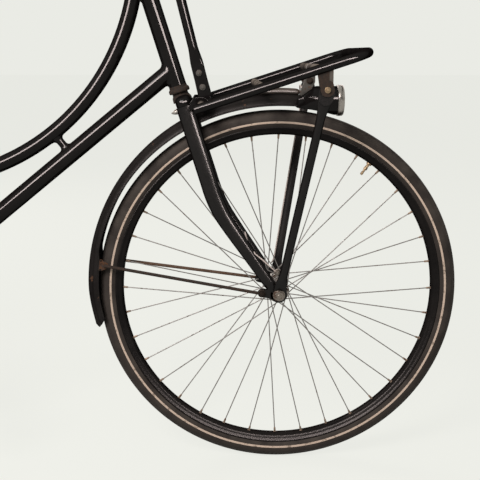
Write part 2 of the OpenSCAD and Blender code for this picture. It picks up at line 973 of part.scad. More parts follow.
// Struts from the axle to the carrier's tabs, drawn down to flat eyes at both ends.
module carrier_struts() {
  low_y = front_lock + end_t + seat_gap / 2;
  color(paint)
    for (s = [-1, 1]) {
      top = on_carrier(strut_x, 0, -strut_drop);
      eye = front(0, s * (low_y + strut_eye_t / 2), 0);
      head = [top[0], s * (carrier_half - tab_t / 2 - seat_gap - strut_eye_t / 2), top[2]];
      lift = unit(head - eye);
      difference() {
        union() {
          rod(eye + lift * 3.4 * strut_r, head - lift * 3.1 * strut_r, strut_r);
          disc(front_axle, s > 0 ? low_y : -low_y - strut_eye_t, strut_eye_t, strut_foot_eye_r);
          disc(head, head[1] - strut_eye_t / 2, strut_eye_t, strut_head_r);
          rod(eye + lift * strut_r, eye + lift * 3.9 * strut_r, 3, strut_r - 0.4);
          rod(head - lift * 3.6 * strut_r, head - lift * 0.9 * strut_r, strut_r - 0.4, 1.2);
        }
        disc(front_axle, -2 * low_y, 4 * low_y, axle_r + run_gap);
        disc(front_axle, s > 0 ? low_y - 20 : -low_y, 20, 40);
        disc(front_axle, s > 0 ? low_y + strut_eye_t : -low_y - strut_eye_t - 20, 20, strut_foot_eye_r + 1);
      }
    }
}

upright_y = 45;
upright_r = 8;
upright_low = -132;
foot_w = 20;
foot_t = 7;
foot_h = 78;
bar_centre = steer(stem_top - lock_h, bar_fwd);

// Uprights from the carrier's rear bar to the handlebar, pressed flat at the foot.
module carrier_uprights() {
  color(paint)
    difference() {
      for (s = [-1, 1]) {
        low = on_carrier(upright_low, s * upright_y, 2 * foot_t);
        high = [bar_centre[0], s * upright_y, bar_centre[2]];
        rod(low + unit(high - low) * (foot_h - upright_r), high, upright_r);
        aim(low, high - low, [1, 0, 0])
          translate([-foot_w / 2, -foot_t / 2, 0])
            cube([foot_w, foot_t, foot_h]);
        rod(low + unit(high - low) * foot_t, on_carrier(cross_at[0], s * upright_y), foot_t - 1);
        translate(high)
          rotate([90, 0, 0])
            translate([0, 0, -upright_r - 1])
              cylinder(h = 2 * upright_r + 2, r = bar_d / 2 + 4);
      }
      rod(bar_centre - [0, 2 * upright_y, 0], bar_centre + [0, 2 * upright_y, 0], bar_d / 2);
      rod(on_carrier(cross_at[0], -2 * upright_y), on_carrier(cross_at[0], 2 * upright_y), cross_r);
    }
}

// Head lamp: a round housing with a sloped back, hollowed over the tyre, hung from the carrier by a lug.
lamp_x = 42.5;
lamp_z = 347.5;
lamp_r = 27.8;
lamp_l = 72.5;
lamp_ring = 11;
lamp_wall = 3;
lamp_well = 8;
lamp_back_up = 9.8;
lamp_back_slope = 27;
lamp_lug_w = 19;
lamp_lug_t = 4;
tyre_room = 5.5;
module lamp_housing() {
  body_r = lamp_r - 2;
  difference() {
    translate(front(lamp_x, 0, lamp_z))
      rotate([0, 90, 0])
        rotate_extrude()
          polygon([
            [0, 0], [0.86 * body_r, 0], [body_r, 0.08 * lamp_l], [body_r, lamp_l - lamp_ring],
            [lamp_r, lamp_l - lamp_ring], [lamp_r, lamp_l], [lamp_r - lamp_wall, lamp_l],
            [lamp_r - lamp_wall, lamp_l - lamp_well], [0, lamp_l - lamp_well]
          ]);
    translate(front(lamp_x, 0, lamp_z + lamp_back_up))
      rotate([0, -lamp_back_slope, 0])
        translate([-lamp_l / 2, -lamp_l, 0])
          cube([1.3 * lamp_l, 2 * lamp_l, lamp_l]);
  }
}

module head_lamp() {
  lug_top = on_carrier(cross_at[2], 0);
  color(paint)
    difference() {
      union() {
        lamp_housing();
        translate([lug_top[0] - lamp_lug_w / 2, -lamp_lug_t / 2, front_axle[2] + lamp_z])
          cube([lamp_lug_w, lamp_lug_t, lug_top[2] - front_axle[2] - lamp_z]);
      }
      rod(lug_top - [0, carrier_half, 0], lug_top + [0, carrier_half, 0], cross_r + seat_gap);
      disc(front_axle, -2 * lamp_r, 4 * lamp_r, tyre_r + tyre_room);
    }
}

module head_lamp_glass() {
  glass_r = lamp_r - lamp_wall - seat_gap;
  color([0.9, 0.9, 0.86])
    translate(front(lamp_x + lamp_l - lamp_well, 0, lamp_z))
      rotate([0, 90, 0])
        rotate_extrude()
          polygon([
            [0, seat_gap], [glass_r, seat_gap], [glass_r, lamp_well - 2], [glass_r / 2, lamp_well + 1],
            [0, lamp_well + 2]
          ]);
}

// Stem and handlebar.

module stem() {
  color(steel)
    difference() {
      union() {
        rod(steer(stem_low - quill_len), steer(stem_low + lock_h / 2), quill_r);
        rod(steer(stem_low + seat_gap), steer(stem_top - lock_h), stem_r);
        translate(steer(stem_top - lock_h))
          sphere(r = stem_r);
        rod(steer(stem_top - lock_h), bar_centre, stem_r - 0.5);
        rod(bar_centre - [0, bar_d, 0], bar_centre + [0, bar_d, 0], bar_clamp_r);
      }
      rod(bar_centre - [0, 2 * bar_d, 0], bar_centre + [0, 2 * bar_d, 0], bar_d / 2);
    }
}

grip_len = 120;
bar_rise = 48;
bar_sweep = 205;
bar_bend = 42;
bar_half = bar_width / 2;
function bar_path(s) = [
  bar_centre,
  bar_centre + [0, s * 0.28 * bar_half, 0],
  bar_centre + [0.1 * bar_sweep, s * 0.535 * bar_half, bar_rise],
  bar_centre + [-0.15 * bar_sweep, s * 0.91 * bar_half, bar_rise * 1.125],
  bar_centre + [-bar_sweep, s * 0.95 * bar_half, bar_rise * 0.54]
];
function reversed(v) = [for (i = [len(v) - 1 : -1 : 0]) v[i]];

module handlebar() {
  path = concat(reversed([for (i = [1 : 4]) bar_path(-1)[i]]), [for (i = [1 : 4]) bar_path(1)[i]]);
  color(steel)
    sweep(rounded(path, bar_bend, 6), bar_d / 2, [0, 0, 1], 20);
}

module grips() {
  color(rubber)
    for (s = [-1, 1]) {
      tip = bar_path(s)[4];
      back = unit(tip - bar_path(s)[3]);
      difference() {
        union() {
          rod(tip - back * grip_len, tip + back * 4, bar_d / 2 + 3);
          rod(tip + back * 4, tip + back * 8, bar_d / 2 + 5);
        }
        rod(tip - back * (grip_len + 1), tip + back * seat_gap, bar_d / 2);
      }
    }
}

module bell() {
  a = bar_path(1)[1];
  b = bar_path(1)[2];
  p = a + (b - a) * 0.66;
  d = unit(b - a);
  up = unit(cross(d, cross([0, 0, 1], d)));
  color(steel)
    difference() {
      union() {
        rod(p, p + up * (bar_d / 2 + 10), 6);
        rod(p - d * 5, p + d * 5, bar_d / 2 + 2.5);
        aim(p + up * (bar_d / 2 + 9), up)
          rotate_extrude()
            intersection() {
              translate([0, -4])
                circle(27);
              square([40, 40]);
            }
      }
      rod(p - d * 20, p + d * 20, bar_d / 2);
    }
}

// Wheels.

module rim_profile() {
  half = rim_w / 2;
  difference() {
    polygon([
      [rim_r, -half / 3], [rim_r, half / 3], [rim_r + rim_deep / 4, half - 2],
      [rim_out, half], [rim_out, -half], [rim_r + rim_deep / 4, 2 - half]
    ]);
    translate([rim_bed, rim_wall - half])
      square([rim_deep, rim_w - 2 * rim_wall]);
  }
}

module tyre_profile() {
  well_half = rim_w / 2 - rim_wall - seat_gap;
  difference() {
    translate([tyre_r - tyre_w / 2, 0])
      circle(tyre_w / 2);
    translate([0, -tyre_w])
      square([rim_bed + seat_gap, 2 * tyre_w]);
    for (s = [-1, 1])
      translate([0, s > 0 ? well_half : -well_half - tyre_w])
        square([rim_out + seat_gap, tyre_w]);
  }
}

module turned(c) {
  translate(c)
    rotate([90, 0, 0])
      rotate_extrude($fn = 128)
        children();
}

module tyre(c) {
  color(rubber)
    turned(c)
      tyre_profile();
}

module rim(c) {
  color(paint)
    turned(c)
      rim_profile();
}

// Spokes cross three others on their own side of the hub.
module spokes(c) {
  per_side = spoke_count / 2;
  color(steel)
    for (k = [0 : spoke_count - 1]) {
      s = k % 2 == 0 ? 1 : -1;
      lead = floor(k / 2) % 2 == 0 ? 1 : -1;
      rim_turn = 90 + 360 * k / spoke_count;
      hub_turn = rim_turn + lead * 3 * 360 / per_side;
      side_y = s * (flange_y + lead * (flange_t / 2 + spoke_d / 2 + 0.1));
      rod(
        c + [(flange_r - 2.5) * cos(hub_turn), side_y, (flange_r - 2.5) * sin(hub_turn)],
        c + [(rim_r - seat_gap) * cos(rim_turn), s * 2, (rim_r - seat_gap) * sin(rim_turn)],
        spoke_d / 2
      );
    }
}

module hub(c, lock, r) {
  half = lock - hub_gap - face_gap;
  color(steel)
    difference() {
      union() {
        disc(c, -half, 2 * half, r);
        for (s = [-1, 1])
          disc(c, s * flange_y - flange_t / 2, flange_t, flange_r);
      }
      disc(c, -half - 1, 2 * half + 2, axle_r + run_gap);
    }
}

module front_tyre() {
  tyre(front_axle);
}

module front_rim() {
  rim(front_axle);
}

module front_spokes() {
  spokes(front_axle);
}

module front_hub() {
  hub(front_axle, front_lock, barrel_r);
}

module rear_tyre() {
  tyre(rear_axle);
}

module rear_rim() {
  rim(rear_axle);
}

module rear_spokes() {
  spokes(rear_axle);
}

module rear_hub() {
  hub(rear_axle, rear_lock, barrel_r + 2);
}

// Cranks and pedals.

function crank_end(s) = bb - s * crank_len * [cos(crank_turn), 0, sin(crank_turn)] + [0, s * crank_in, 0];

module crank_arm(s) {
  e = crank_end(s);
  out = crank_in + crank_t;
  pin_l = pedal_in - out + pedal_l + 2;
  translate([bb[0], s > 0 ? out : -crank_in, bb[2]])
    rotate([90, 0, 0])
      rotate([0, 0, s > 0 ? 180 + crank_turn : crank_turn])
        linear_extrude(crank_t) {
          circle(17);
          translate([crank_len, 0])
            circle(13);
          polygon([[0, -13], [crank_len, -10], [crank_len, 10], [0, 13]]);
        }
  disc(e, s > 0 ? out - 4 : -out - pin_l, pin_l + 4, pedal_pin_r);
}

module cranks() {
  color(steel) {
    disc(bb, -crank_in - 4, 2 * crank_in + 8, spindle_r);
    crank_arm(-1);
    crank_arm(1);
  }
}

// Pedal: two end plates and a barrel on the pin, with a ribbed block on either side.
pedal_plate_t = 4;
pedal_block_w = 24;
pedal_barrel_r = 8;
module pedal(s) {
  e = crank_end(s);
  color(rubber)
    difference() {
      translate([e[0], s > 0 ? pedal_in : -pedal_in - pedal_l, e[2]]) {
        for (y = [0, pedal_l - pedal_plate_t])
          translate([2 - pedal_w / 2, y, -12])
            cube([pedal_w - 4, pedal_plate_t, 24]);
        for (q = [-1, 1])
          translate([q * (pedal_w - pedal_block_w) / 2 - pedal_block_w / 2, 2, -13])
            cube([pedal_block_w, pedal_l - 4, 26]);
        translate([0, 1, 0])
          rotate([-90, 0, 0])
            cylinder(h = pedal_l - 2, r = pedal_barrel_r);
      }
      disc(e, -400, 800, pedal_pin_r + run_gap);
    }
}

module right_pedal() {
  pedal(-1);
}

module left_pedal() {
  pedal(1);
}

// Stand: two legs hung on the rear axle, joined by a bar on the floor.
stand_fwd = 18;
stand_half = 100;
stand_r = stand_d / 2;
stand_leg_y = 74;
stand_foot_z = rear_lift + tyre_r - stand_r;
module stand_legs() {
  eye_y = rear_lock + end_t + face_gap;
  lean = atan2(stand_fwd, stand_foot_z);
  down = [sin(lean), 0, -cos(lean)];
  color(paint)
    for (s = [-1, 1])
      difference() {
        union() {
          translate([rear_axle[0], s > 0 ? eye_y + stand_eye_t : -eye_y, rear_axle[2]])
            rotate([90, 0, 0])
              linear_extrude(stand_eye_t) {
                circle(13);
                rotate(lean)
                  translate([-7, -44])
                    square([14, 44]);
              }
          rod(
            rear_axle + down * 26 + [0, s * stand_leg_y, 0],
            rear_axle + [stand_fwd, s * stand_half, -stand_foot_z],
            stand_r - 1
          );
        }
        disc(rear_axle, -200, 400, axle_r + run_gap);
        stand_bar_rod();
      }
}

module stand_bar_rod() {
  rod(
    rear_axle + [stand_fwd, -stand_half - 12, -stand_foot_z],
    rear_axle + [stand_fwd, stand_half + 12, -stand_foot_z],
    stand_r
  );
}

module stand_bar() {
  color(paint)
    stand_bar_rod();
}

head_tube();
headset_cups();
down_tube();
top_tube();
tube_bridge();
seat_tube();
bottom_bracket();
chain_stays();
seat_stays();
rear_dropouts();
rear_axle_pin();
chain_case();
rear_mudguard();
rear_guard_stays();
rear_carrier();
rear_carrier_bars();
rear_carrier_struts();
rear_lamp();
seat_post();
saddle_frame();
saddle_springs();
saddle_top();
fork_crown();
fork_blade_right();
fork_blade_left();
front_axle_pin();
front_mudguard();
front_guard_stays();
carrier_loop();
carrier_bars();
carrier_struts();
carrier_uprights();
head_lamp();
head_lamp_glass();
stem();
handlebar();
grips();
bell();
front_tyre();
front_rim();
front_spokes();
front_hub();
rear_tyre();
rear_rim();
rear_spokes();
rear_hub();
cranks();
right_pedal();
left_pedal();
stand_legs();
stand_bar();
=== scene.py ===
"""Looks of a child's roadster bicycle: finishes, bent sheet and tube work, rubber and saddle."""

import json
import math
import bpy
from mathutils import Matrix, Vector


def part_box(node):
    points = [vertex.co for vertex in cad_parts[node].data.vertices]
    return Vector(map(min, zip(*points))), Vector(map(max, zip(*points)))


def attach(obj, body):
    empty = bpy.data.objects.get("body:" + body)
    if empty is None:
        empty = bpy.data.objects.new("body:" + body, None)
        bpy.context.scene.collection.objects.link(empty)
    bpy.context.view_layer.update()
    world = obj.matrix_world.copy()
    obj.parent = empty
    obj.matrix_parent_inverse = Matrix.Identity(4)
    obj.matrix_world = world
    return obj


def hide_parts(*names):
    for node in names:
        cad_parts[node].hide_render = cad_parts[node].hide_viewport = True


bl_info = {
    "name": "Child's roadster bicycle",
    "version": (1, 0, 0),
    "blender": (4, 5, 0),
    "location": "3D View > Sidebar > Bicycle",
    "description": "Dresses the bicycle's solids with their finishes and fine pieces",
    "category": "Object",
}

import bmesh
import bpy
from mathutils import Vector

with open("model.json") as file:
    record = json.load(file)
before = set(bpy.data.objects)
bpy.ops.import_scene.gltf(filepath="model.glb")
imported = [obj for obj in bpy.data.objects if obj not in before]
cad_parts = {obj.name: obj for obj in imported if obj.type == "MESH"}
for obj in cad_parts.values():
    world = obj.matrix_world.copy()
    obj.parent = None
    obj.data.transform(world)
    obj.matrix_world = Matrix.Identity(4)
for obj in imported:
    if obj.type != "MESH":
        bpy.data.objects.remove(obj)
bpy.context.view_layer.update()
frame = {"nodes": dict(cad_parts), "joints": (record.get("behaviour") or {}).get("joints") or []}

# Lengths below are millimetres in the part's own frame; meshes are made in metres.
MM = 0.001
JOINT = {joint["name"]: joint for joint in frame["joints"]}


def joint_at(name):
    """Place of a joint, in millimetres."""
    return Vector(JOINT[name]["pos_m"]) / MM


FRONT = joint_at("front_wheel_spin")
REAR = joint_at("rear_wheel_spin")
CRANK = joint_at("crank_spin")
HEAD_FOOT = joint_at("steer")
STEER_UP = Vector(JOINT["steer"]["axis"]).normalized()
STEER_FWD = Vector((STEER_UP.z, 0, -STEER_UP.x))
RAKE = -(HEAD_FOOT - FRONT).dot(STEER_FWD)
HEAD_LOW = (HEAD_FOOT - FRONT).dot(STEER_UP)
UP = Vector((0, 0, 1))
LEFT = Vector((0, 1, 0))
AHEAD = Vector((1, 0, 0))
ORIGIN = Vector((0, 0, 0))
SIDES = (("right", -1), ("left", 1))


def steer(t, fwd=0.0, y=0.0):
    """Point beside the steering axis: height from the front axle, forward offset and side."""
    return FRONT + STEER_UP * t + STEER_FWD * (fwd - RAKE) + LEFT * y


def polar(centre, radius, turn, y=0.0):
    """Point round an axle; the turn counts from forward, upwards."""
    a = math.radians(turn)
    return centre + Vector((radius * math.cos(a), y, radius * math.sin(a)))


def node_box(name):
    """Lowest and highest corners of a solid, in millimetres."""
    low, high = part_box(name)
    return low / MM, high / MM


def square_to(d):
    """Some direction square to d."""
    return d.cross(LEFT if abs(d.y) < 0.9 * d.length else AHEAD).normalized()


def around(u, v, t):
    """Direction at turn t in the plane of u and v."""
    return u * math.cos(t) + v * math.sin(t)


def mix(a, b, t):
    return a + (b - a) * t


def ease(t):
    t = max(0.0, min(1.0, t))
    return t * t * (3 - 2 * t)


def rounded(points, bend, count=6):
    """Path with its inner corners turned to one bend radius."""
    path = [points[0]]
    for a, b, c in zip(points, points[1:], points[2:]):
        d0, d1 = (b - a).normalized(), (c - b).normalized()
        sweep = d0.angle(d1)
        inward = (d1 - d0 * d0.dot(d1)).normalized()
        start = b - d0 * bend * math.tan(sweep / 2)
        mid = start + inward * bend
        for k in range(count + 1):
            s = sweep * k / count
            path.append(mid - inward * bend * math.cos(s) + d0 * bend * math.sin(s))
    path.append(points[-1])
    return path


def resampled(path, step):
    """The same path with points no further apart than step."""
    out = [path[0]]
    for a, b in zip(path, path[1:]):
        n = max(1, math.ceil((b - a).length / step))
        out.extend(mix(a, b, k / n) for k in range(1, n + 1))
    return out


class Shape:
    """Mesh of one piece, gathered in millimetres, with a finish number on each face."""

    def __init__(self):
        self.points = []
        self.faces = []
        self.finish = []

    def add(self, points, faces, finish=0):
        base = len(self.points)
        self.points.extend(points)
        self.faces.extend(tuple(base + k for k in face) for face in faces)
        self.finish.extend([finish] * len(faces))

    def loft(self, rings, finish=0, caps=True, wrap=False, row_finish=None):
        """Skin over rings of equal count. wrap joins the last ring to the first."""
        n, m = len(rings[0]), len(rings)
        base = len(self.points)
        self.points.extend(p for ring in rings for p in ring)
        for j in range(m if wrap else m - 1):
            j2 = (j + 1) % m
            for k in range(n):
                k2 = (k + 1) % n
                self.faces.append((base + j * n + k, base + j2 * n + k, base + j2 * n + k2, base + j * n + k2))
                self.finish.append(row_finish[k] if row_finish else finish)
        if caps and not wrap:
            self.faces.append(tuple(base + k for k in range(n)))
            self.faces.append(tuple(base + (m - 1) * n + k for k in range(n)))
            self.finish.extend([finish, finish])

    def tube(self, path, radius, sides=20, finish=0, dome=0.0, side=None):
        """Round bar along a path. radius is a number or a function of the share of the way."""
        width = radius if callable(radius) else lambda share: (radius, radius)
        count = len(path)
        rings = []
        for i, p in enumerate(path):
            d = (path[min(i + 1, count - 1)] - path[max(i - 1, 0)]).normalized()
            side = square_to(d) if side is None else (side - d * side.dot(d)).normalized()
            up = d.cross(side)
            a, b = width(i / (count - 1))
            ring = [(side * a * math.cos(t) + up * b * math.sin(t)) for t in turns(sides)]
            steps = [(0, 1)]
            if dome and i in (0, count - 1):
                steps = [(dome * math.sin(s), 1 - 0.9 * (1 - math.cos(s))) for s in (1.5, 1.1, 0.7, 0.35, 0)]
                steps = steps if i == 0 else [(-out, shrink) for out, shrink in reversed(steps)]
            for out, shrink in steps:
                rings.append([p - d * out + q * shrink for q in ring])
        self.loft(rings, finish)

    def lathe(self, origin, axis, profile, sides=48, finish=0, wrap=False):
        """Turned form; the profile's rows are height along the axis and radius."""
        axis = axis.normalized()
        u = square_to(axis)
        v = axis.cross(u)
        rings = [[origin + axis * h + around(u, v, t) * max(r, 0.02) for t in turns(sides)]
                 for h, r in profile]
        self.loft(rings, finish, caps=not wrap, wrap=wrap)

    def plate(self, outline, place, across, finish=0):
        """Flat plate: an outline of (u, v) rows set by place(u, v), as thick as the vector across."""
        low = [place(u, v) - across / 2 for u, v in outline]
        self.loft([low, [p + across for p in low]], finish)

    def hex_bolt(self, origin, axis, flat_r, height, finish=0, washer=0.0, stud=0.0):
        """Six-sided head with a chamfered top, on a washer, with the stud's end proud of it."""
        axis = axis.normalized()
        if washer:
            self.lathe(origin, axis, [(0, 0), (0, flat_r * washer), (1.0, flat_r * washer),
                                      (1.4, flat_r * washer - 0.5), (1.4, 0)], 32, finish)
        base = origin + axis * (1.4 if washer else 0.0)
        rows = [(0, 1.0), (height * 0.78, 1.0), (height, 0.84), (height * 1.02, 0.55)]
        u = square_to(axis)
        v = axis.cross(u)
        self.loft([[base + axis * h + around(u, v, t) * flat_r * k for t in turns(6)]
                   for h, k in rows], finish)
        if stud:
            self.lathe(base + axis * height * 0.9, axis, [(0, flat_r * 0.5), (stud, flat_r * 0.5),
                                                          (stud + 0.6, flat_r * 0.38)], 20, finish)

    def dome_bolt(self, origin, axis, r, height, finish=0):
        """Round-headed bolt."""
        rows = [(0, r), (height * 0.3, r), (height * 0.65, r * 0.82), (height * 0.9, r * 0.5), (height, r * 0.1)]
        self.lathe(origin, axis, rows, 24, finish)

    def fillet(self, hit, d, r, axis_at, axis, big_r, size):
        """Brazed bead where a bar of radius r leaving along d meets a bar of radius big_r."""
        u = square_to(d)
        v = d.cross(u)
        axis = axis.normalized()
        rings = []
        for t in turns(48):
            e = around(u, v, t)
            p = hit + e * r
            q, w = p - axis_at, d - axis * d.dot(axis)
            q = q - axis * q.dot(axis)
            a, b, c = w.dot(w), q.dot(w), q.dot(q) - big_r * big_r
            root = math.sqrt(max(b * b - a * c, 0.0))
            seam = p + d * ((-b + root) / a)
            normal = seam - axis_at
            normal = (normal - axis * normal.dot(axis)).normalized()
            out = (e - normal * e.dot(normal)).normalized()
            low = seam + out * size - axis_at
            along = axis * low.dot(axis)
            low = axis_at + along + (low - along).normalized() * (big_r - 0.1)
            high = seam + d * size - e * 0.1
            ring = [mix(mix(high, seam, k / 6), mix(seam, low, k / 6), k / 6) for k in range(7)]
            rings.append(ring + [seam - normal * 0.8 - e * 0.8])
        self.loft(rings, wrap=True)


def turns(count):
    return [2 * math.pi * k / count for k in range(count)]


def make_piece(name, shape, body, finishes, replaces=(), sharp=38.0, bevel=0.0, smooth_level=0):
    """Turns a Shape into an object that rides on a body and shows the given finishes."""
    mesh = bpy.data.meshes.new(name)
    mesh.from_pydata([tuple(p * MM) for p in shape.points], [], shape.faces)
    bm = bmesh.new()
    bm.from_mesh(mesh)
    bmesh.ops.recalc_face_normals(bm, faces=bm.faces)
    bm.to_mesh(mesh)
    bm.free()
    for finish in finishes:
        mesh.materials.append(bpy.data.materials[finish])
    for polygon, number in zip(mesh.polygons, shape.finish):
        polygon.material_index = number
        polygon.use_smooth = True
    mesh.set_sharp_from_angle(angle=math.radians(sharp))
    piece = bpy.data.objects.new(name, mesh)
    bpy.context.scene.collection.objects.link(piece)
    if bevel:
        edge = piece.modifiers.new("Broken edges", "BEVEL")
        edge.width = bevel * MM
        edge.segments = 2
        edge.limit_method = "ANGLE"
        edge.angle_limit = math.radians(sharp)
        edge.harden_normals = True
    if smooth_level:
        rounding = piece.modifiers.new("Rounding", "SUBSURF")
        rounding.levels = rounding.render_levels = smooth_level
    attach(piece, body)
    if replaces:
        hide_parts(*replaces)
    if all(finish in STRIP_LIT for finish in finishes):
        painted().objects.link(piece)
    return piece


# Shared effects, each one node group.


class Nodes:
    """Short way to add and link nodes in one tree."""

    def __init__(self, tree):
        self.tree = tree

    def add(self, kind, values=(), **settings):
        node = self.tree.nodes.new(kind)
        for key, value in settings.items():
            setattr(node, key, value)
        for socket, value in dict(values).items():
            target = node.inputs[socket]
            if isinstance(value, bpy.types.NodeSocket):
                self.tree.links.new(value, target)
            else:
                target.default_value = value
        return node

    def math(self, operation, a, b=0.0):
        return self.add("ShaderNodeMath", {0: a, 1: b}, operation=operation).outputs[0]

    def blend(self, share, a, b):
        """Colour a with share of colour b over it."""
        node = self.add("ShaderNodeMix", {0: share, 6: a, 7: b}, data_type="RGBA")
        return node.outputs[2]

    def span(self, value, low, high, to_low, to_high):
        node = self.add("ShaderNodeMapRange", {0: value, 1: low, 2: high, 3: to_low, 4: to_high})
        return node.outputs[0]


def new_group(name, inputs, outputs):
    """Empty shader group with float inputs (name, default) and outputs (name, kind)."""
    group = bpy.data.node_groups.new(name, "ShaderNodeTree")
    for label, default in inputs:
        socket = group.interface.new_socket(label, in_out="INPUT", socket_type="NodeSocketFloat")
        socket.default_value = default
    for label, kind in outputs:
        group.interface.new_socket(label, in_out="OUTPUT", socket_type="NodeSocket" + kind)
    n = Nodes(group)
    return n, n.add("NodeGroupInput").outputs, n.add("NodeGroupOutput").inputs


def build_groups():
    """Worn patches, settled dust, fine grain and rust bloom."""
    n, given, result = new_group("Worn patches", [("Scale", 60.0), ("Amount", 0.3)],
                                 [("Mask", "Float"), ("Edge", "Float"), ("Height", "Float")])
    place = n.add("ShaderNodeTexCoord").outputs["Object"]
    broad = n.add("ShaderNodeTexNoise", {"Vector": place, "Scale": given["Scale"], "Detail": 7.0, "Roughness": 0.62})
    limit = n.math("SUBTRACT", 0.82, n.math("MULTIPLY", given["Amount"], 0.4))
    over = n.math("SUBTRACT", broad.outputs[0], limit)
    mask = n.span(over, 0.0, 0.025, 0.0, 1.0)
    edge = n.span(over, -0.06, 0.02, 0.0, 1.0)
    n.tree.links.new(mask, result["Mask"])
    n.tree.links.new(edge, result["Edge"])
    n.tree.links.new(n.math("SUBTRACT", 1.0, edge), result["Height"])

    n, given, result = new_group("Settled dust", [("Scale", 18.0), ("Amount", 0.3)], [("Mask", "Float")])
    coords = n.add("ShaderNodeTexCoord").outputs
    clouds = n.add("ShaderNodeTexNoise", {"Vector": coords["Object"], "Scale": given["Scale"], "Detail": 8.0})
    facing = n.add("ShaderNodeSeparateXYZ", {0: coords["Normal"]}).outputs[2]
    upward = n.span(facing, -0.3, 1.0, 0.25, 1.0)
    soft = n.span(clouds.outputs[0], 0.35, 0.75, 0.0, 1.0)
    n.tree.links.new(n.math("MULTIPLY", n.math("MULTIPLY", soft, upward), given["Amount"]), result["Mask"])

    n, given, result = new_group("Fine grain", [("Scale", 400.0)], [("Value", "Float"), ("Height", "Float")])
    place = n.add("ShaderNodeTexCoord").outputs["Object"]
    fine = n.add("ShaderNodeTexNoise", {"Vector": place, "Scale": given["Scale"], "Detail": 5.0})
    coarse = n.add("ShaderNodeTexNoise", {"Vector": place, "Scale": n.math("MULTIPLY", given["Scale"], 0.08),
                                          "Detail": 3.0})
    n.tree.links.new(n.math("MULTIPLY", n.math("ADD", fine.outputs[0], coarse.outputs[0]), 0.5), result["Value"])
    n.tree.links.new(fine.outputs[0], result["Height"])

    n, given, result = new_group("Rust bloom", [("Scale", 120.0)], [("Color", "Color"), ("Height", "Float")])
    place = n.add("ShaderNodeTexCoord").outputs["Object"]
    bloom = n.add("ShaderNodeTexNoise", {"Vector": place, "Scale": given["Scale"], "Detail": 9.0, "Roughness": 0.7})
    specks = n.add("ShaderNodeTexVoronoi", {"Vector": place, "Scale": n.math("MULTIPLY", given["Scale"], 2.5)})
    tone = n.math("ADD", bloom.outputs[0], n.math("MULTIPLY", specks.outputs[0], 0.18))
    ramp = n.add("ShaderNodeValToRGB", {0: tone})
    stops = ramp.color_ramp.elements
    stops[0].position, stops[0].color = 0.34, (0.020, 0.013, 0.010, 1)
    stops[1].position, stops[1].color = 0.80, (0.150, 0.068, 0.034, 1)
    middle = stops.new(0.58)
    middle.color = (0.066, 0.037, 0.025, 1)
    n.tree.links.new(ramp.outputs[0], result["Color"])
    n.tree.links.new(tone, result["Height"])


def start_material(name, **plain):
    """Material with a bare Principled shader; plain values sit on its own sockets."""
    material = bpy.data.materials.get(name)
    if material:
        material.name = name + "_solid"
    material = bpy.data.materials.new(name)
    material.use_nodes = True
    n = Nodes(material.node_tree)
    shader = material.node_tree.nodes["Principled BSDF"]
    for socket, value in plain.items():
        shader.inputs[socket.replace("_", " ")].default_value = value
    return n, shader


def group(n, name, **values):
    node = n.add("ShaderNodeGroup", node_tree=bpy.data.node_groups[name])
    for socket, value in values.items():
        node.inputs[socket].default_value = value
    return node.outputs


def feed(n, shader, colour=None, rough=None, metal=None, height=None, depth=0.1, strength=0.5):
    links = n.tree.links
    if colour is not None:
        links.new(colour, shader.inputs["Base Color"])
    if rough is not None:
        links.new(rough, shader.inputs["Roughness"])
    if metal is not None:
        links.new(metal, shader.inputs["Metallic"])
    if height is not None:
        bump = n.add("ShaderNodeBump", {"Height": height, "Distance": depth * MM, "Strength": strength})
        links.new(bump.outputs[0], shader.inputs["Normal"])


def rgba(colour):
    return (*colour[:3], 1.0)


DUST_TONE = (0.16, 0.135, 0.115, 1)
GRIME_TONE = (0.17, 0.13, 0.10, 1)
RUBBED_TONE = (0.06, 0.05, 0.045, 1)
GLANCE = (0.22, 0.46)
GRAIN_SPAN = (0.3, 0.7)


def grained(n, grain, low, high):
    """Value that follows the fine grain from low to high."""
    return n.span(grain["Value"], *GRAIN_SPAN, low, high)


def mottled(n, grain, colour, share, lift=0.0):
    """Base colour that the fine grain takes to a share of itself."""
    return n.blend(grained(n, grain, 0.0, 1.0), rgba(colour), rgba([c * share + lift for c in colour]))


def enamel(name, colour, chips, dust, gloss, specular=0.1):
    """Stove enamel: deep gloss, chipped to primer and rust, with road dust on it."""
    n, shader = start_material(name)
    worn = group(n, "Worn patches", Scale=75.0, Amount=chips)
    rust = group(n, "Rust bloom", Scale=160.0)
    dirt = group(n, "Settled dust", Scale=22.0, Amount=dust)
    grain = group(n, "Fine grain", Scale=260.0)
    base = mottled(n, grain, colour, 1.7, 0.002)
    base = n.blend(worn["Mask"], base, rust["Color"])
    base = n.blend(dirt["Mask"], base, DUST_TONE)
    rough = grained(n, grain, gloss, gloss + 0.06)
    rough = n.math("ADD", rough, n.math("MULTIPLY", dirt["Mask"], 0.45))
    rough = n.math("ADD", rough, n.math("MULTIPLY", worn["Mask"], 0.5))
    feed(n, shader, base, rough, None, worn["Height"], 0.1, 0.4)
    # The shine fades toward a glancing look, so tubes don't burn out from behind.
    glance = n.add("ShaderNodeLayerWeight", {"Blend": 0.5}).outputs["Facing"]
    n.tree.links.new(n.span(glance, *GLANCE, specular, 0.0), shader.inputs["Specular IOR Level"])


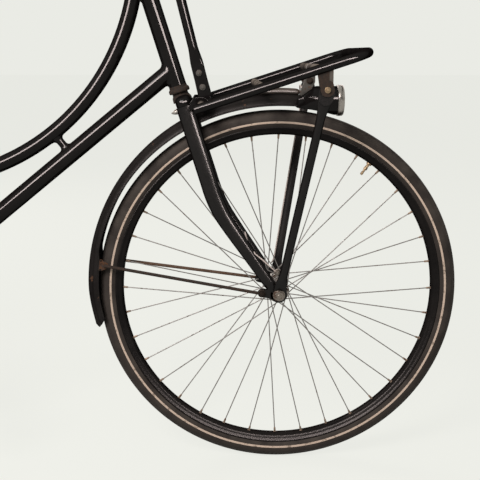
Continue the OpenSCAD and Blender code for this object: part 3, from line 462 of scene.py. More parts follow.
def plated(name, colour, rough_low, rough_high, rust_amount, scale=90.0):
    """Bright metal with rust breaking through."""
    n, shader = start_material(name)
    worn = group(n, "Worn patches", Scale=scale, Amount=rust_amount)
    rust = group(n, "Rust bloom", Scale=scale * 2)
    grain = group(n, "Fine grain", Scale=600.0)
    base = mottled(n, grain, colour, 0.72)
    base = n.blend(worn["Edge"], base, rust["Color"])
    rough = n.math("ADD", grained(n, grain, rough_low, rough_high),
                   n.math("MULTIPLY", worn["Edge"], 0.45))
    metal = n.math("SUBTRACT", 1.0, n.math("MULTIPLY", worn["Edge"], 0.85))
    feed(n, shader, base, rough, metal, rust["Height"], 0.05, 0.3)


def rusted(name, grime, cover):
    """Steel that has lost its finish to rust."""
    n, shader = start_material(name, Specular_IOR_Level=0.05)
    rust = group(n, "Rust bloom", Scale=150.0)
    bare = group(n, "Worn patches", Scale=200.0, Amount=0.62)
    grain = group(n, "Fine grain", Scale=700.0)
    base = n.blend(n.span(bare["Edge"], 0.0, 1.0, cover, 1.0), rust["Color"], rgba(grime))
    rough = grained(n, grain, 0.55, 0.9)
    feed(n, shader, base, rough, None, rust["Height"], 0.35, 0.8)


def rubbery(name, colour, dust, grain_scale, depth):
    """Rubber with a dull, dusty skin."""
    n, shader = start_material(name, Specular_IOR_Level=0.12)
    dirt = group(n, "Settled dust", Scale=30.0, Amount=dust)
    grain = group(n, "Fine grain", Scale=grain_scale)
    base = mottled(n, grain, colour, 1.6)
    base = n.blend(dirt["Mask"], base, DUST_TONE)
    rough = grained(n, grain, 0.6, 0.85)
    feed(n, shader, base, rough, None, grain["Height"], depth, 0.6)


def stripe(name, colour):
    """Reflective band on the tyre wall, greyed by dirt."""
    n, shader = start_material(name, Specular_IOR_Level=0.15)
    dirt = group(n, "Worn patches", Scale=140.0, Amount=0.5)
    grain = group(n, "Fine grain", Scale=900.0)
    base = mottled(n, grain, colour, 0.82)
    base = n.blend(n.math("MULTIPLY", dirt["Edge"], 0.7), base, GRIME_TONE)
    feed(n, shader, base, grained(n, grain, 0.45, 0.7), None, grain["Height"], 0.05, 0.4)


def hide(name, colour):
    """Saddle cover: pebbled grain, rubbed smoother in broad patches."""
    n, shader = start_material(name, Specular_IOR_Level=0.25)
    place = n.add("ShaderNodeTexCoord").outputs["Object"]
    pebble = n.add("ShaderNodeTexVoronoi", {"Vector": place, "Scale": 520.0}, feature="SMOOTH_F1")
    rubbed = group(n, "Worn patches", Scale=14.0, Amount=0.75)
    grain = group(n, "Fine grain", Scale=300.0)
    base = n.blend(n.span(pebble.outputs[0], 0.1, 0.6, 0.0, 1.0), rgba([c * 1.5 for c in colour]), rgba(colour))
    base = n.blend(n.math("MULTIPLY", rubbed["Edge"], 0.35), base, RUBBED_TONE)
    rough = n.math("SUBTRACT", grained(n, grain, 0.42, 0.6), n.math("MULTIPLY", rubbed["Edge"], 0.12))
    feed(n, shader, base, rough, None, pebble.outputs[0], 0.25, 0.5)


def lens(name, colour, transmission, ior):
    """Moulded glass or plastic lens with a fine ripple."""
    n, shader = start_material(name, Transmission_Weight=transmission, IOR=ior)
    grain = group(n, "Fine grain", Scale=150.0)
    base = mottled(n, grain, colour, 0.86)
    feed(n, shader, base, grained(n, grain, 0.06, 0.2), None, grain["Height"], 0.1, 0.3)


def build_finishes(finish):
    """All the bicycle's materials, from the colours in the panel."""
    build_groups()
    enamel("gloss_enamel", finish.enamel, 0.2, 0.025, 0.06)
    enamel("dull_enamel", [c * 1.4 + 0.002 for c in finish.enamel], 0.42, 0.08, 0.32, 0.035)
    # On the carrier's bars the dust is laid on so thick that their upward faces come out pale: partly settled dust,
    # partly a painted highlight standing in for the sheen on their tops.
    enamel("rubbed_enamel", (0.02, 0.017, 0.016), 0.5, 2.4, 0.35, 0.1)
    enamel("scuffed_enamel", (0.042, 0.034, 0.030), 0.62, 0.5, 0.3, 0.25)
    enamel("satin_enamel", finish.enamel, 0.24, 0.04, 0.15, 0.16)
    enamel("shaded_enamel", [c * 1.8 + 0.003 for c in finish.enamel], 0.3, 0.16, 0.42, 0.1)
    enamel("rim_enamel", finish.enamel, 0.3, 0.08, 0.26, 0.05)
    plated("dull_zinc", (0.44, 0.41, 0.38), 0.36, 0.52, 0.66)
    plated("bright_chrome", (0.62, 0.60, 0.58), 0.14, 0.28, 0.34)
    plated("grey_wire", (0.30, 0.28, 0.27), 0.4, 0.55, 0.45, 160.0)
    plated("aged_steel", (0.15, 0.135, 0.125), 0.36, 0.55, 0.5, 160.0)
    plated("brass", (0.42, 0.30, 0.19), 0.36, 0.5, 0.55)
    plated("old_brass", (0.30, 0.22, 0.17), 0.4, 0.55, 0.55)
    plated("worn_chrome", (0.35, 0.32, 0.295), 0.2, 0.36, 0.5)
    plated("dark_zinc", (0.22, 0.19, 0.165), 0.36, 0.52, 0.62)
    rusted("rust_tan", (0.15, 0.098, 0.072), 0.5)
    rusted("rust_brown", (0.05, 0.042, 0.04), 0.0)
    rusted("rust_dark", (0.036, 0.030, 0.027), 0.75)
    rusted("rust_black", (0.017, 0.0145, 0.013), 0.85)
    rubbery("tyre_rubber", finish.tyre, 0.55, 500.0, 0.12)
    rubbery("black_rubber", (0.018, 0.017, 0.016), 0.35, 420.0, 0.1)
    stripe("tyre_stripe", finish.stripe)
    stripe("pale_cable", (0.62, 0.53, 0.49))
    hide("saddle_hide", finish.saddle)
    lens("clear_lens", (0.93, 0.94, 0.92), 0.9, 1.5)
    lens("red_lens", (0.42, 0.012, 0.010), 0.25, 1.49)
    lens("amber_lens", (0.55, 0.20, 0.02), 0.2, 1.49)


CAD_FINISH = {
    "gloss_enamel": "head_tube down_tube top_tube tube_bridge seat_tube bottom_bracket chain_stays seat_stays "
                    "rear_dropouts chain_case rear_carrier rear_carrier_bars rear_carrier_struts fork_crown "
                    "fork_blade_right fork_blade_left carrier_loop carrier_struts carrier_uprights "
                    "head_lamp stand_legs stand_bar",
    "dull_enamel": "front_mudguard rear_mudguard rear_guard_stays",
    # The carrier's bars get pale tops from heavy dust, partly a painted highlight.
    "rubbed_enamel": "carrier_bars",
    "rim_enamel": "front_rim rear_rim",
    "rust_brown": "headset_cups front_guard_stays",
    "dull_zinc": "rear_axle_pin front_axle_pin front_hub rear_hub saddle_frame saddle_springs",
    "bright_chrome": "seat_post stem handlebar bell cranks",
    "grey_wire": "front_spokes rear_spokes",
    "tyre_rubber": "front_tyre rear_tyre",
    "black_rubber": "grips right_pedal left_pedal",
    "saddle_hide": "saddle_top",
    "clear_lens": "head_lamp_glass",
    "red_lens": "rear_lamp",
}


class BicycleFinish(bpy.types.PropertyGroup):
    """Colours that a user would change."""

    enamel: bpy.props.FloatVectorProperty(name="Enamel", description="Colour of the frame's enamel",
                                          default=(0.0042, 0.0034, 0.0034), size=3, subtype="COLOR", min=0, max=1)
    tyre: bpy.props.FloatVectorProperty(name="Tyres", description="Colour of the tyres' rubber",
                                        default=(0.026, 0.021, 0.019), size=3, subtype="COLOR", min=0, max=1)
    stripe: bpy.props.FloatVectorProperty(name="Tyre stripe", description="Colour of the band on the tyre wall",
                                          default=(0.68, 0.53, 0.43), size=3, subtype="COLOR", min=0, max=1)
    saddle: bpy.props.FloatVectorProperty(name="Saddle", description="Colour of the saddle's cover",
                                          default=(0.014, 0.012, 0.011), size=3, subtype="COLOR", min=0, max=1)
    backdrop: bpy.props.FloatVectorProperty(name="Backdrop", description="Colour of the floor and the space behind",
                                            default=(0.823, 0.831, 0.783), size=3, subtype="COLOR", min=0, max=1)


class BicycleView(bpy.types.PropertyGroup):
    """Camera and light."""

    place: bpy.props.FloatVectorProperty(name="Camera place", description="Where the camera stands",
                                         default=(0.47201, -1.61068, 0.76294), size=3, subtype="TRANSLATION",
                                         unit="LENGTH")
    tilt: bpy.props.FloatProperty(name="Tilt", description="How far the camera looks down",
                                  default=math.radians(8.95), subtype="ANGLE")
    pan: bpy.props.FloatProperty(name="Pan", description="How far the camera turns to the rear",
                                 default=math.radians(0.52), subtype="ANGLE")
    lens: bpy.props.FloatProperty(name="Lens", description="Focal length in millimetres", default=66.44, min=10)
    shift: bpy.props.FloatVectorProperty(name="Shift", description="Sideways and upward shift of the picture",
                                         default=(0.0746, -0.0986), size=2)
    key_light: bpy.props.FloatProperty(name="Soft box", description="Power of the soft box in watts",
                                       default=62.0, min=0)
    strip_light: bpy.props.FloatProperty(name="Strip", description="Strength of the long light in the paint's gloss",
                                         default=72.0, min=0)
    fill_light: bpy.props.FloatProperty(name="Fill", description="Strength of the light from all round",
                                        default=0.4, min=0)


def seen_ray(n):
    """One where the camera, a reflection or a glass looks at the point, else nothing."""
    path = n.add("ShaderNodeLightPath").outputs
    straight = n.math("MAXIMUM", path["Is Camera Ray"], path["Is Glossy Ray"])
    return n.math("MAXIMUM", straight, path["Is Transmission Ray"])


STRIP_LIT = ("gloss_enamel", "satin_enamel", "dull_enamel", "scuffed_enamel", "rim_enamel")

# The strip is bowed round a middle point: metres, then degrees.
STRIP_MIDDLE = Vector((0.35, 0, 0.8))
STRIP_AWAY = 2.3
STRIP_TURN = 46
STRIP_RISE = 20.5
STRIP_FALL = 10
STRIP_BOW = 40
STRIP_HALF = 7.5
STRIP_STEPS = 24
STRIP_TINT = (1.0, 0.86, 0.82, 1)
REAR_STRIP = 3.0
REAR_SHARE = 0.8
BOX_TINT = (1.0, 0.95, 0.92)
FLOOR_REACH = 30.0
FLOOR_DROP = 0.0005
FLOOR_TONE = 0.11
FLOOR_GLOW = 0.94
SENSOR_W = 36


def painted():
    """Collection of the pieces whose gloss shows the brighter strip."""
    return bpy.data.collections.get("painted") or bpy.data.collections.new("painted")


def strip_light(name, front, strength):
    """Long bowed light above one side of the bicycle, seen only in gloss."""
    start_material(name, Emission_Color=STRIP_TINT, Emission_Strength=strength, Base_Color=(0, 0, 0, 1))
    mesh = bpy.data.meshes.new(name)
    points = []
    for k in range(STRIP_STEPS + 1):
        side = -STRIP_TURN + 2 * STRIP_TURN * k / STRIP_STEPS
        for edge in (-STRIP_HALF, STRIP_HALF):
            rise = math.radians(STRIP_RISE - STRIP_FALL * (side / STRIP_BOW) ** 2 + edge)
            turn = math.radians(side)
            away = Vector((math.sin(turn) * math.cos(rise), front * math.cos(turn) * math.cos(rise), math.sin(rise)))
            points.append(STRIP_MIDDLE + away * STRIP_AWAY)
    mesh.from_pydata(points, [], [(2 * k, 2 * k + 1, 2 * k + 3, 2 * k + 2) for k in range(STRIP_STEPS)])
    mesh.materials.append(bpy.data.materials[name])
    strip = bpy.data.objects.new(name, mesh)
    for rays in ("camera", "diffuse", "transmission", "shadow"):
        setattr(strip, "visible_" + rays, False)
    return strip


class BICYCLE_OT_stage(bpy.types.Operator):
    """Sets the camera, the soft boxes, the strips, the even light and the pale floor"""

    bl_idname = "bicycle.stage"
    bl_label = "Stage"

    def execute(self, context):
        scene, view = context.scene, context.scene.bicycle_view
        backdrop = rgba(scene.bicycle_finish.backdrop)
        scene.view_settings.view_transform = "Standard"
        camera = bpy.data.objects.new("camera", bpy.data.cameras.new("camera"))
        camera.location = view.place
        camera.rotation_euler = (math.pi / 2 - view.tilt, 0, view.pan)
        camera.data.lens = view.lens
        camera.data.sensor_width = SENSOR_W
        camera.data.shift_x, camera.data.shift_y = view.shift
        scene.collection.objects.link(camera)
        scene.camera = camera

        for name, at, aim, size, power in (
            ("soft_box", (-0.52, -1.84, 2.06), (0.3, 0.0, 0.7), 1.0, view.key_light),
            ("rear_box", (-1.4, 2.6, 2.4), (-0.1, 0.0, 0.5), 1.6, view.key_light * REAR_SHARE),
        ):
            lamp = bpy.data.lights.new(name, "AREA")
            lamp.energy, lamp.size, lamp.color = power, size, BOX_TINT
            box = bpy.data.objects.new(name, lamp)
            box.location = at
            box.rotation_euler = (Vector(aim) - Vector(at)).to_track_quat("-Z", "Y").to_euler()
            box.visible_camera = False
            scene.collection.objects.link(box)
        for name, front, strength in (("paint_strip", -1, view.strip_light), ("rear_strip", 1, REAR_STRIP)):
            scene.collection.objects.link(strip_light(name, front, strength))
        bpy.data.objects["paint_strip"].light_linking.receiver_collection = painted()

        world = bpy.data.worlds.new("studio")
        scene.world = world
        world.use_nodes = True
        n = Nodes(world.node_tree)
        air = world.node_tree.nodes["Background"]
        world.node_tree.links.new(n.span(seen_ray(n), 0.0, 1.0, view.fill_light, 1.0), air.inputs["Strength"])
        air.inputs["Color"].default_value = backdrop

        n, shader = start_material("pale_floor", Specular_IOR_Level=0.0, Roughness=1.0, Emission_Color=backdrop)
        grain = group(n, "Fine grain", Scale=40.0)
        dim = [c * FLOOR_TONE for c in backdrop]
        feed(n, shader, n.blend(grain["Value"], rgba(dim), rgba([c * 0.97 for c in dim])))
        glow = n.span(seen_ray(n), 0.0, 1.0, view.fill_light * 0.8, FLOOR_GLOW)
        n.tree.links.new(glow, shader.inputs["Emission Strength"])
        mesh = bpy.data.meshes.new("floor")
        corners = [(x * FLOOR_REACH, y * FLOOR_REACH, 0) for x, y in ((-1, -1), (1, -1), (1, 1), (-1, 1))]
        mesh.from_pydata(corners, [], [(0, 1, 2, 3)])
        mesh.materials.append(bpy.data.materials["pale_floor"])
        floor = bpy.data.objects.new("floor", mesh)
        floor.location = (0, 0, -FLOOR_DROP)
        scene.collection.objects.link(floor)
        return {"FINISHED"}


class BICYCLE_OT_finishes(bpy.types.Operator):
    """Makes the materials and puts them on the solids"""

    bl_idname = "bicycle.finishes"
    bl_label = "Finishes"

    def execute(self, context):
        build_finishes(context.scene.bicycle_finish)
        for finish, names in CAD_FINISH.items():
            for name in names.split():
                for slot in frame["nodes"][name].material_slots:
                    slot.material = bpy.data.materials[finish]
                if finish in STRIP_LIT:
                    painted().objects.link(frame["nodes"][name])
        return {"FINISHED"}


# Wheels.

WHEEL_LOW, WHEEL_HIGH = node_box("front_tyre")
TYRE_R = (WHEEL_HIGH.z - WHEEL_LOW.z) / 2
TYRE_HALF = (WHEEL_HIGH.y - WHEEL_LOW.y) / 2
RIM_OUT = (node_box("front_rim")[1] - FRONT).z
RIM_HALF = node_box("front_rim")[1].y
RIM_IN = RIM_OUT - 15
FLANGE_R = 21
FLANGE_Y = 28
FLANGE_T = 3
SPOKES = 36
AROUND = 360
RIM_STEPS = 200
VALVE_TURN = 54.5
NUT_R = 9.4
WASHER_T = 1.9

# Tread: section angle where a groove starts and ends, and its depth.
GROOVES = ((11, 15, 1.5), (28, 32, 1.3))
SIPES = (36, 62, 0.9)
STRIPE = (95, 106.5, 0.3)


def tread_cut(angle, step):
    """How deep the tread is cut at a section angle; the sipes cut every other step."""
    for start, stop, depth in GROOVES:
        if start < angle < stop:
            return depth
    start, stop, depth = SIPES
    if start < angle < stop and step % 2:
        return depth
    return 0.0


def tyre_section():
    """Half section as angles round the tyre's own tube, from the crown to the bead."""
    marks = [0, 4, 8, 11, 11.4, 14.6, 15, 20, 24, 28, 28.4, 31.6, 32, 36, 36.5, 44, 52, 60, 62, 68, 74, 80, 85]
    start, stop = STRIPE[:2]
    return marks + [90, start, start + 0.8, (start + stop) / 2, stop - 0.8, stop, 109, 115, 121, 126]


def tyre_cover(centre):
    """Hollow tyre with grooves, sipes and the raised stripe on both walls."""
    shape = Shape()
    tube_at = TYRE_R - TYRE_HALF
    half = tyre_section()
    angles = [-a for a in reversed(half[1:])] + half
    rings = []
    for step in range(AROUND):
        ring = []
        for a in angles:
            size = abs(a)
            r = TYRE_HALF - tread_cut(size, step)
            if STRIPE[0] < size < STRIPE[1]:
                r += STRIPE[2]
            t = math.radians(a)
            ring.append(polar(centre, tube_at + r * math.cos(t), step * 360 / AROUND, r * math.sin(t)))
        for y in (RIM_HALF - 3.6, 3.6 - RIM_HALF):
            ring.append(polar(centre, RIM_OUT - 5, step * 360 / AROUND, y))
        rings.append(ring)
    middles = [(abs(a) + abs(b)) / 2 for a, b in zip(angles, angles[1:])]
    finish = [1 if STRIPE[0] < m < STRIPE[1] else 0 for m in middles] + [0, 0, 0]
    shape.loft(rings, wrap=True, row_finish=finish)
    return shape


RIM_SECTION = ((0, -2.4), (-0.4, -0.8), (-2.0, 0), (-3.8, -0.4), (-5.4, -2), (-7.5, -3.0), (-10, -3.6),
               (-12.2, -5.2), (-14, -8.2), (-14.8, -11), (-15, -13.5))


def rim_band(centre):
    """Rolled rim with a hollow bed for the tyre."""
    shape = Shape()
    side = [(RIM_OUT + h, RIM_HALF + w) for h, w in RIM_SECTION]
    bed = [(RIM_OUT - 11.5, 4), (RIM_OUT - 9, RIM_HALF - 5), (RIM_OUT - 4, RIM_HALF - 3)]
    loop = side + [(r, -y) for r, y in reversed(side)] + [(r, -y) for r, y in reversed(bed)] + bed
    shape.loft([[polar(centre, r, k * 360 / RIM_STEPS, y) for r, y in loop] for k in range(RIM_STEPS)], wrap=True)
    return shape


def spoke_ends(k):
    """Hub and rim ends of spoke k, from the axle."""
    side = 1 if k % 2 == 0 else -1
    lead = 1 if (k // 2) % 2 == 0 else -1
    rim_turn = 90 + 360 * k / SPOKES
    hub_turn = rim_turn + lead * 3 * 720 / SPOKES
    hub_y = side * (FLANGE_Y + lead * (FLANGE_T / 2 + 1.1))
    hub = polar(ORIGIN, FLANGE_R - 2.5, hub_turn, hub_y)
    return hub, polar(ORIGIN, RIM_IN, rim_turn, side * 2), lead * side


def nipples(centre):
    """Spoke nipples at the rim."""
    shape = Shape()
    for k in range(SPOKES):
        hub, rim, _ = spoke_ends(k)
        inward = (hub - rim).normalized()
        shape.lathe(centre + rim - inward * 1.5, inward,
                    [(0, 2.8), (1.8, 2.8), (2.4, 2.0), (8, 1.8), (9.5, 1.5), (10, 1.1)], 10)
    return shape


def spoke_heads(centre):
    """Bent ends of the spokes through the hub's flanges."""
    shape = Shape()
    for k in range(SPOKES):
        hub, rim, out = spoke_ends(k)
        along = (rim - hub).normalized()
        path = [centre + hub + along * 4, centre + hub + along * 1.2, centre + hub - LEFT * out * 1.6,
                centre + hub - LEFT * out * 4.6]
        shape.tube(path, 1.05, 8)
        shape.lathe(centre + hub - LEFT * out * 4.4, -LEFT * out, [(0, 1.9), (0.7, 1.7), (1.2, 0.8)], 10)
    return shape


def valve(centre):
    """Valve stem with its nuts and cap."""
    shape = Shape()
    foot = polar(centre, RIM_IN + 1, VALVE_TURN)
    inward = (centre - foot).normalized()
    shape.lathe(foot, inward, [(0, 5.0), (1, 5.2), (3.6, 5.2), (4.2, 3.2), (4.4, 2.9), (10, 2.9), (10.4, 3.5),
                               (14, 3.6), (14.6, 3.1), (15, 2.3), (20, 2.1), (21, 2.6), (25, 2.6), (26.5, 1.6)], 20)
    return shape


def hub_shell(centre, half, barrel):
    """Hub barrel between two flanges."""
    shape = Shape()
    end, low, high = 8.0, -FLANGE_Y - FLANGE_T / 2, -FLANGE_Y + FLANGE_T / 2
    rows = [(-half, 6.0), (-half, end), (-half + 2, end + 1.5), (-FLANGE_Y - 6, barrel - 1.5)]
    rows += [(low, barrel), (low, FLANGE_R - 0.8), (low + 0.8, FLANGE_R), (high - 0.8, FLANGE_R),
             (high, FLANGE_R - 0.8), (high + 1, barrel + 2), (-FLANGE_Y + 8, barrel), (-10, barrel - 1.5)]
    rows += [(-h, r) for h, r in reversed(rows)]
    shape.lathe(centre, LEFT, rows, 64)
    return shape


def axle_set(centre, lock, out):
    """Threaded axle with its cones, washers and nuts."""
    shape = Shape()
    reach = node_box("front_axle_pin" if centre == FRONT else "rear_axle_pin")[1].y
    pin = [(0, 3.2), (1.2, 4.6), (2 * reach - 3.6, 4.6), (2 * reach - 2.4, 3.2)]
    shape.lathe(centre - LEFT * (reach - 1.2), LEFT, pin, 32)
    for s in (-1, 1):
        axis = LEFT * s
        shape.lathe(centre + axis * (lock - 2.9), axis, [(0, 6.5), (0.6, 8), (2.8, 8)], 32)
        shape.lathe(centre + axis * out, axis, [(0, 5), (0, 11), (1.2, 11), (WASHER_T, 10.3), (WASHER_T, 5)], 40)
        shape.hex_bolt(centre + axis * (out + WASHER_T), axis, NUT_R, 7.4)
        flange = [(0, NUT_R * 0.99), (1.6, NUT_R * 0.99), (2.2, NUT_R * 0.86)]
        shape.lathe(centre + axis * (out + WASHER_T), axis, flange, 40)
    return shape


class BICYCLE_OT_wheels(bpy.types.Operator):
    """Tyres with tread and stripe, rolled rims, nipples, spoke ends, valves, hubs and axles"""

    bl_idname = "bicycle.wheels"
    bl_label = "Wheels"

    def execute(self, context):
        for label, centre, lock, barrel, carried, eye in (
            ("front", FRONT, 50, 13, "steering", 3.2), ("rear", REAR, 60, 15, "frame", 5.6),
        ):
            body = label + "_wheel"
            make_piece(label + "_tyre_cover", tyre_cover(centre), body, ["tyre_rubber", "tyre_stripe"],
                       [label + "_tyre"], sharp=50)
            make_piece(label + "_rim_band", rim_band(centre), body, ["rim_enamel"], [label + "_rim"])
            make_piece(label + "_nipples", nipples(centre), body, ["old_brass"])
            make_piece(label + "_spoke_heads", spoke_heads(centre), body, ["grey_wire"])
            make_piece(label + "_valve", valve(centre), body, ["brass"])
            make_piece(label + "_hub_shell", hub_shell(centre, lock - 3.3, barrel), body, ["dull_zinc"],
                       [label + "_hub"])
            make_piece(label + "_axle_set", axle_set(centre, lock, lock + 5 + eye), carried,
                       ["dark_zinc"], [label + "_axle_pin"])
        return {"FINISHED"}


# Fork and headset.

HEAD_HIGH = HEAD_LOW + 272
CUP_H = 13.3
FORK_LEN = HEAD_LOW - CUP_H
CROWN_H = 30
CROWN_LOW = FORK_LEN - CROWN_H
BLADE_BEND = math.radians(17.2)
BLADE_BEND_R = 240
BLADE_TIP_BACK = 3
BLADE_TOP_W = 31
BLADE_TIP_W = 22
BLADE_TOP_Y = 42
BLADE_SIDE = 0.66
END_T = 5
END_Y = 52.5
BEND_OFF = BLADE_BEND_R * (1 - math.cos(BLADE_BEND))
BEND_LOW = (RAKE - BLADE_TIP_BACK - BEND_OFF) / math.tan(BLADE_BEND)
BEND_HIGH = BEND_LOW + BLADE_BEND_R * math.sin(BLADE_BEND)
# How far the blades lean ahead, the height where that starts and its run.
BLADE_LEAN = (2.4, 120, 120)
LUG = (-31, 3)


def blade_fwd(t):
    """Forward place of the blade's middle; its upper run leans a little ahead of the steering axis."""
    most, start, run = BLADE_LEAN
    lean = most * ease((t - start) / run)
    if t > BEND_HIGH:
        return lean
    if t > BEND_LOW:
        return lean + BLADE_BEND_R - math.sqrt(BLADE_BEND_R ** 2 - (BEND_HIGH - t) ** 2)
    return lean + BEND_OFF + (BEND_LOW - t) * math.tan(BLADE_BEND)


def blade_y(t):
    """How far out the blade's middle is."""
    return END_Y - (END_Y - BLADE_TOP_Y) * t / CROWN_LOW


def blade_width(t):
    """Blade's breadth seen from the side."""
    return BLADE_TIP_W + (BLADE_TOP_W - BLADE_TIP_W) * ease(min(1.0, t / 215))


def hull_outline(circles, sides=40):
    """Convex outline round circles given as (u, v, radius)."""
    dots = sorted((u + r * math.cos(t), v + r * math.sin(t)) for u, v, r in circles for t in turns(sides))

    def chain(rows):
        kept = []
        for p in rows:
            while len(kept) > 1 and ((kept[-1][0] - kept[-2][0]) * (p[1] - kept[-2][1])
                                     - (kept[-1][1] - kept[-2][1]) * (p[0] - kept[-2][0])) <= 1e-9:
                kept.pop()
            kept.append(p)
        return kept[:-1]

    return chain(dots) + chain(reversed(dots))


def fork_blade(s):
    """Oval blade, bent forward and drawn down to the flat fork end."""
    shape = Shape()
    flat_from = 30.0
    top = CROWN_LOW + 6
    rows = [3 + 3 * k for k in range(10)] + [36 + (top - 36) * k / 60 for k in range(61)]
    rings = []
    for t in rows:
        share = ease((t - 3) / (flat_from - 3))
        wide = blade_width(t) / 2 * (0.86 + 0.14 * share)
        side = mix(END_T / 2 + 0.3, BLADE_SIDE * blade_width(t) / 2, share)
        rings.append([steer(t, blade_fwd(t) + wide * math.cos(a), s * (blade_y(t) + side * math.sin(a)))
                      for a in turns(40)])
    shape.loft(rings)
    outline = hull_outline([(0, 0, 15), (4, 10, 10)])
    lug = hull_outline([(LUG[0], LUG[1], 7), (-8, 0, 9)])
    for rim in (outline, lug):
        shape.plate(rim, lambda u, v: FRONT + Vector((u, s * END_Y, v)), LEFT * END_T)
    return shape


def squared(c):
    """Sine or cosine of a round turned towards a rounded square."""
    return abs(c) ** 0.7 * math.copysign(1, c)


def crown_casting():
    """Rounded crown across the blades' tops."""
    shape = Shape()
    high, deep = 12.5, 14.4
    middle, end, dome = CROWN_LOW + high, BLADE_TOP_Y + 11.5, 14.0
    rings = []
    for k in range(49):
        y = -end + 2 * end * k / 48
        over = max(0.0, abs(y) - (end - dome)) / dome
        share = max(math.sqrt(max(1 - over * over, 0)), 0.02)
        waist = 1 - 0.14 * ease(1 - abs(y) / 30)
        rings.append([steer(middle + high * share * squared(math.sin(a)),
                            BLADE_LEAN[0] + deep * share * waist * squared(math.cos(a)), y) for a in turns(40)])
    shape.loft(rings)
    return shape


def crown_fittings():
    """Bearing seat on the crown, and the washer and lock nut above the head tube."""
    shape = Shape()
    seat_rows = [(0, 17), (8, 16.6), (11, 15), (12.5, 14.4), (CROWN_H - 14, 14.4)]
    shape.lathe(steer(CROWN_LOW + 14), STEER_UP, seat_rows, 48)
    top = HEAD_HIGH + CUP_H
    shape.lathe(steer(top), STEER_UP, [(0, 12.8), (0, 18), (4, 18), (4.6, 17.2), (4.6, 12.8)], 48)
    shape.hex_bolt(steer(top + 4.6), STEER_UP, 18.0, 11.2, 1)
    return shape


RACE_ROWS = ((0, 13.2), (0, 17.6), (0.8, 18.7), (2.4, 19.2), (6.2, 19.0), (8.0, 18.0), (8.8, 16.6), (13, 16.2),
             (13, 13.2))


def headset_races():
    """Lower and upper cups at the head tube's ends."""
    shape = Shape()
    shape.lathe(steer(HEAD_LOW - 13), STEER_UP, RACE_ROWS, 64)
    shape.lathe(steer(HEAD_HIGH + 13), -STEER_UP, RACE_ROWS, 64)
    return shape


def acorn_nut():
    """Pointed nut on a washer behind the crown."""
    shape = Shape()
    at = steer(CROWN_LOW - 1.5, -12)
    shape.lathe(at, -STEER_FWD, [(0, 7), (1.4, 7), (1.5, 5.6)], 24)
    shape.hex_bolt(at - STEER_FWD * 1.4, -STEER_FWD, 5.2, 4.0)
    cone = [(0, 4.6), (2, 4.4), (5, 3.3), (7.6, 2.0), (9.2, 0.9), (9.6, 0.1)]
    shape.lathe(at - STEER_FWD * 5.0, -STEER_FWD, cone, 24)
    return shape


class BICYCLE_OT_fork(bpy.types.Operator):
    """Fork blades with their ends, crown and headset"""

    bl_idname = "bicycle.fork"
    bl_label = "Fork"

    def execute(self, context):
        for label, s in SIDES:
            make_piece("fork_blade_form_" + label, fork_blade(s), "steering", ["satin_enamel"],
                       ["fork_blade_" + label], sharp=50)
        make_piece("fork_crown_form", crown_casting(), "steering",
                   ["gloss_enamel"], ["fork_crown"], sharp=50)
        make_piece("crown_fittings", crown_fittings(), "steering",
                   ["rust_dark", "bright_chrome"], sharp=50)
        make_piece("headset_races", headset_races(), "frame", ["rust_dark"], ["headset_cups"])
        make_piece("crown_acorn_nut", acorn_nut(), "steering", ["dull_zinc"], sharp=50)
        return {"FINISHED"}


# Seat tube's direction, which the rear mudguard meets too.

SEAT_TURN = math.radians(68.5)
SEAT_UP = Vector((-math.cos(SEAT_TURN), 0, math.sin(SEAT_TURN)))
SEAT_FWD = Vector((math.sin(SEAT_TURN), 0, math.cos(SEAT_TURN)))


# Mudguards.

FRONT_GUARD = FRONT + UP * 8
FRONT_GUARD_R = 352
REAR_GUARD_R = 357
GUARD_HALF = 27
GUARD_DEEP = 21
GUARD_ARCH = (GUARD_HALF ** 2 + GUARD_DEEP ** 2) / (2 * GUARD_DEEP)
GUARD_EDGE = math.acos(1 - GUARD_DEEP / GUARD_ARCH)
GUARD_ROWS = 24
GUARD_SHEET = 1.5
GUARD_ROLL = 1.9
CREASE = 0.9
# Share of the section's depth near the lamp, along the middle and at the tail, and where the tail starts.
SHALLOW = (0.92, 0.77, 1.0)
TAIL_TURN = 168
LAMP_PINCH = 0.24


def guard_rows(r, inset):
    """Section rows from edge to edge: radius, side, and share of the depth below the crown."""
    rows = []
    for k in range(-GUARD_ROWS, GUARD_ROWS + 1):
        share = abs(k) / GUARD_ROWS
        crease = CREASE * ease(1 - abs(share - 0.42) / 0.1) - CREASE * ease(1 - abs(share - 0.62) / 0.1)
        reach = GUARD_ARCH - inset + crease
        a = GUARD_EDGE * k / GUARD_ROWS
        rows.append((r - GUARD_ARCH + reach * math.cos(a), reach * math.sin(a),
                     (1 - math.cos(a)) * GUARD_ARCH / GUARD_DEEP))
    return rows


def guard_shell(shape, centre, r, start, stop, steps):
    """Sheet guard; start and stop give the turn of each end by the share of the depth."""
    skins = [guard_rows(r, 0.0), guard_rows(r, GUARD_SHEET)]
    loop = skins[0] + skins[1][::-1]
    rings = [[polar(centre, q, mix(start(d), stop(d), k / steps), y) for q, y, d in loop] for k in range(steps + 1)]
    shape.loft(rings, caps=False)
    count = len(skins[0])
    for ring in (rings[0], rings[-1]):
        shape.add(ring, [(k, k + 1, 2 * count - 2 - k, 2 * count - 1 - k) for k in range(count - 1)])
    for q, y, d in (skins[0][0], skins[0][-1]):
        edge = [polar(centre, q, mix(start(d), stop(d), k / steps), y) for k in range(steps + 1)]
        shape.tube(edge, GUARD_ROLL, 12, dome=GUARD_ROLL)


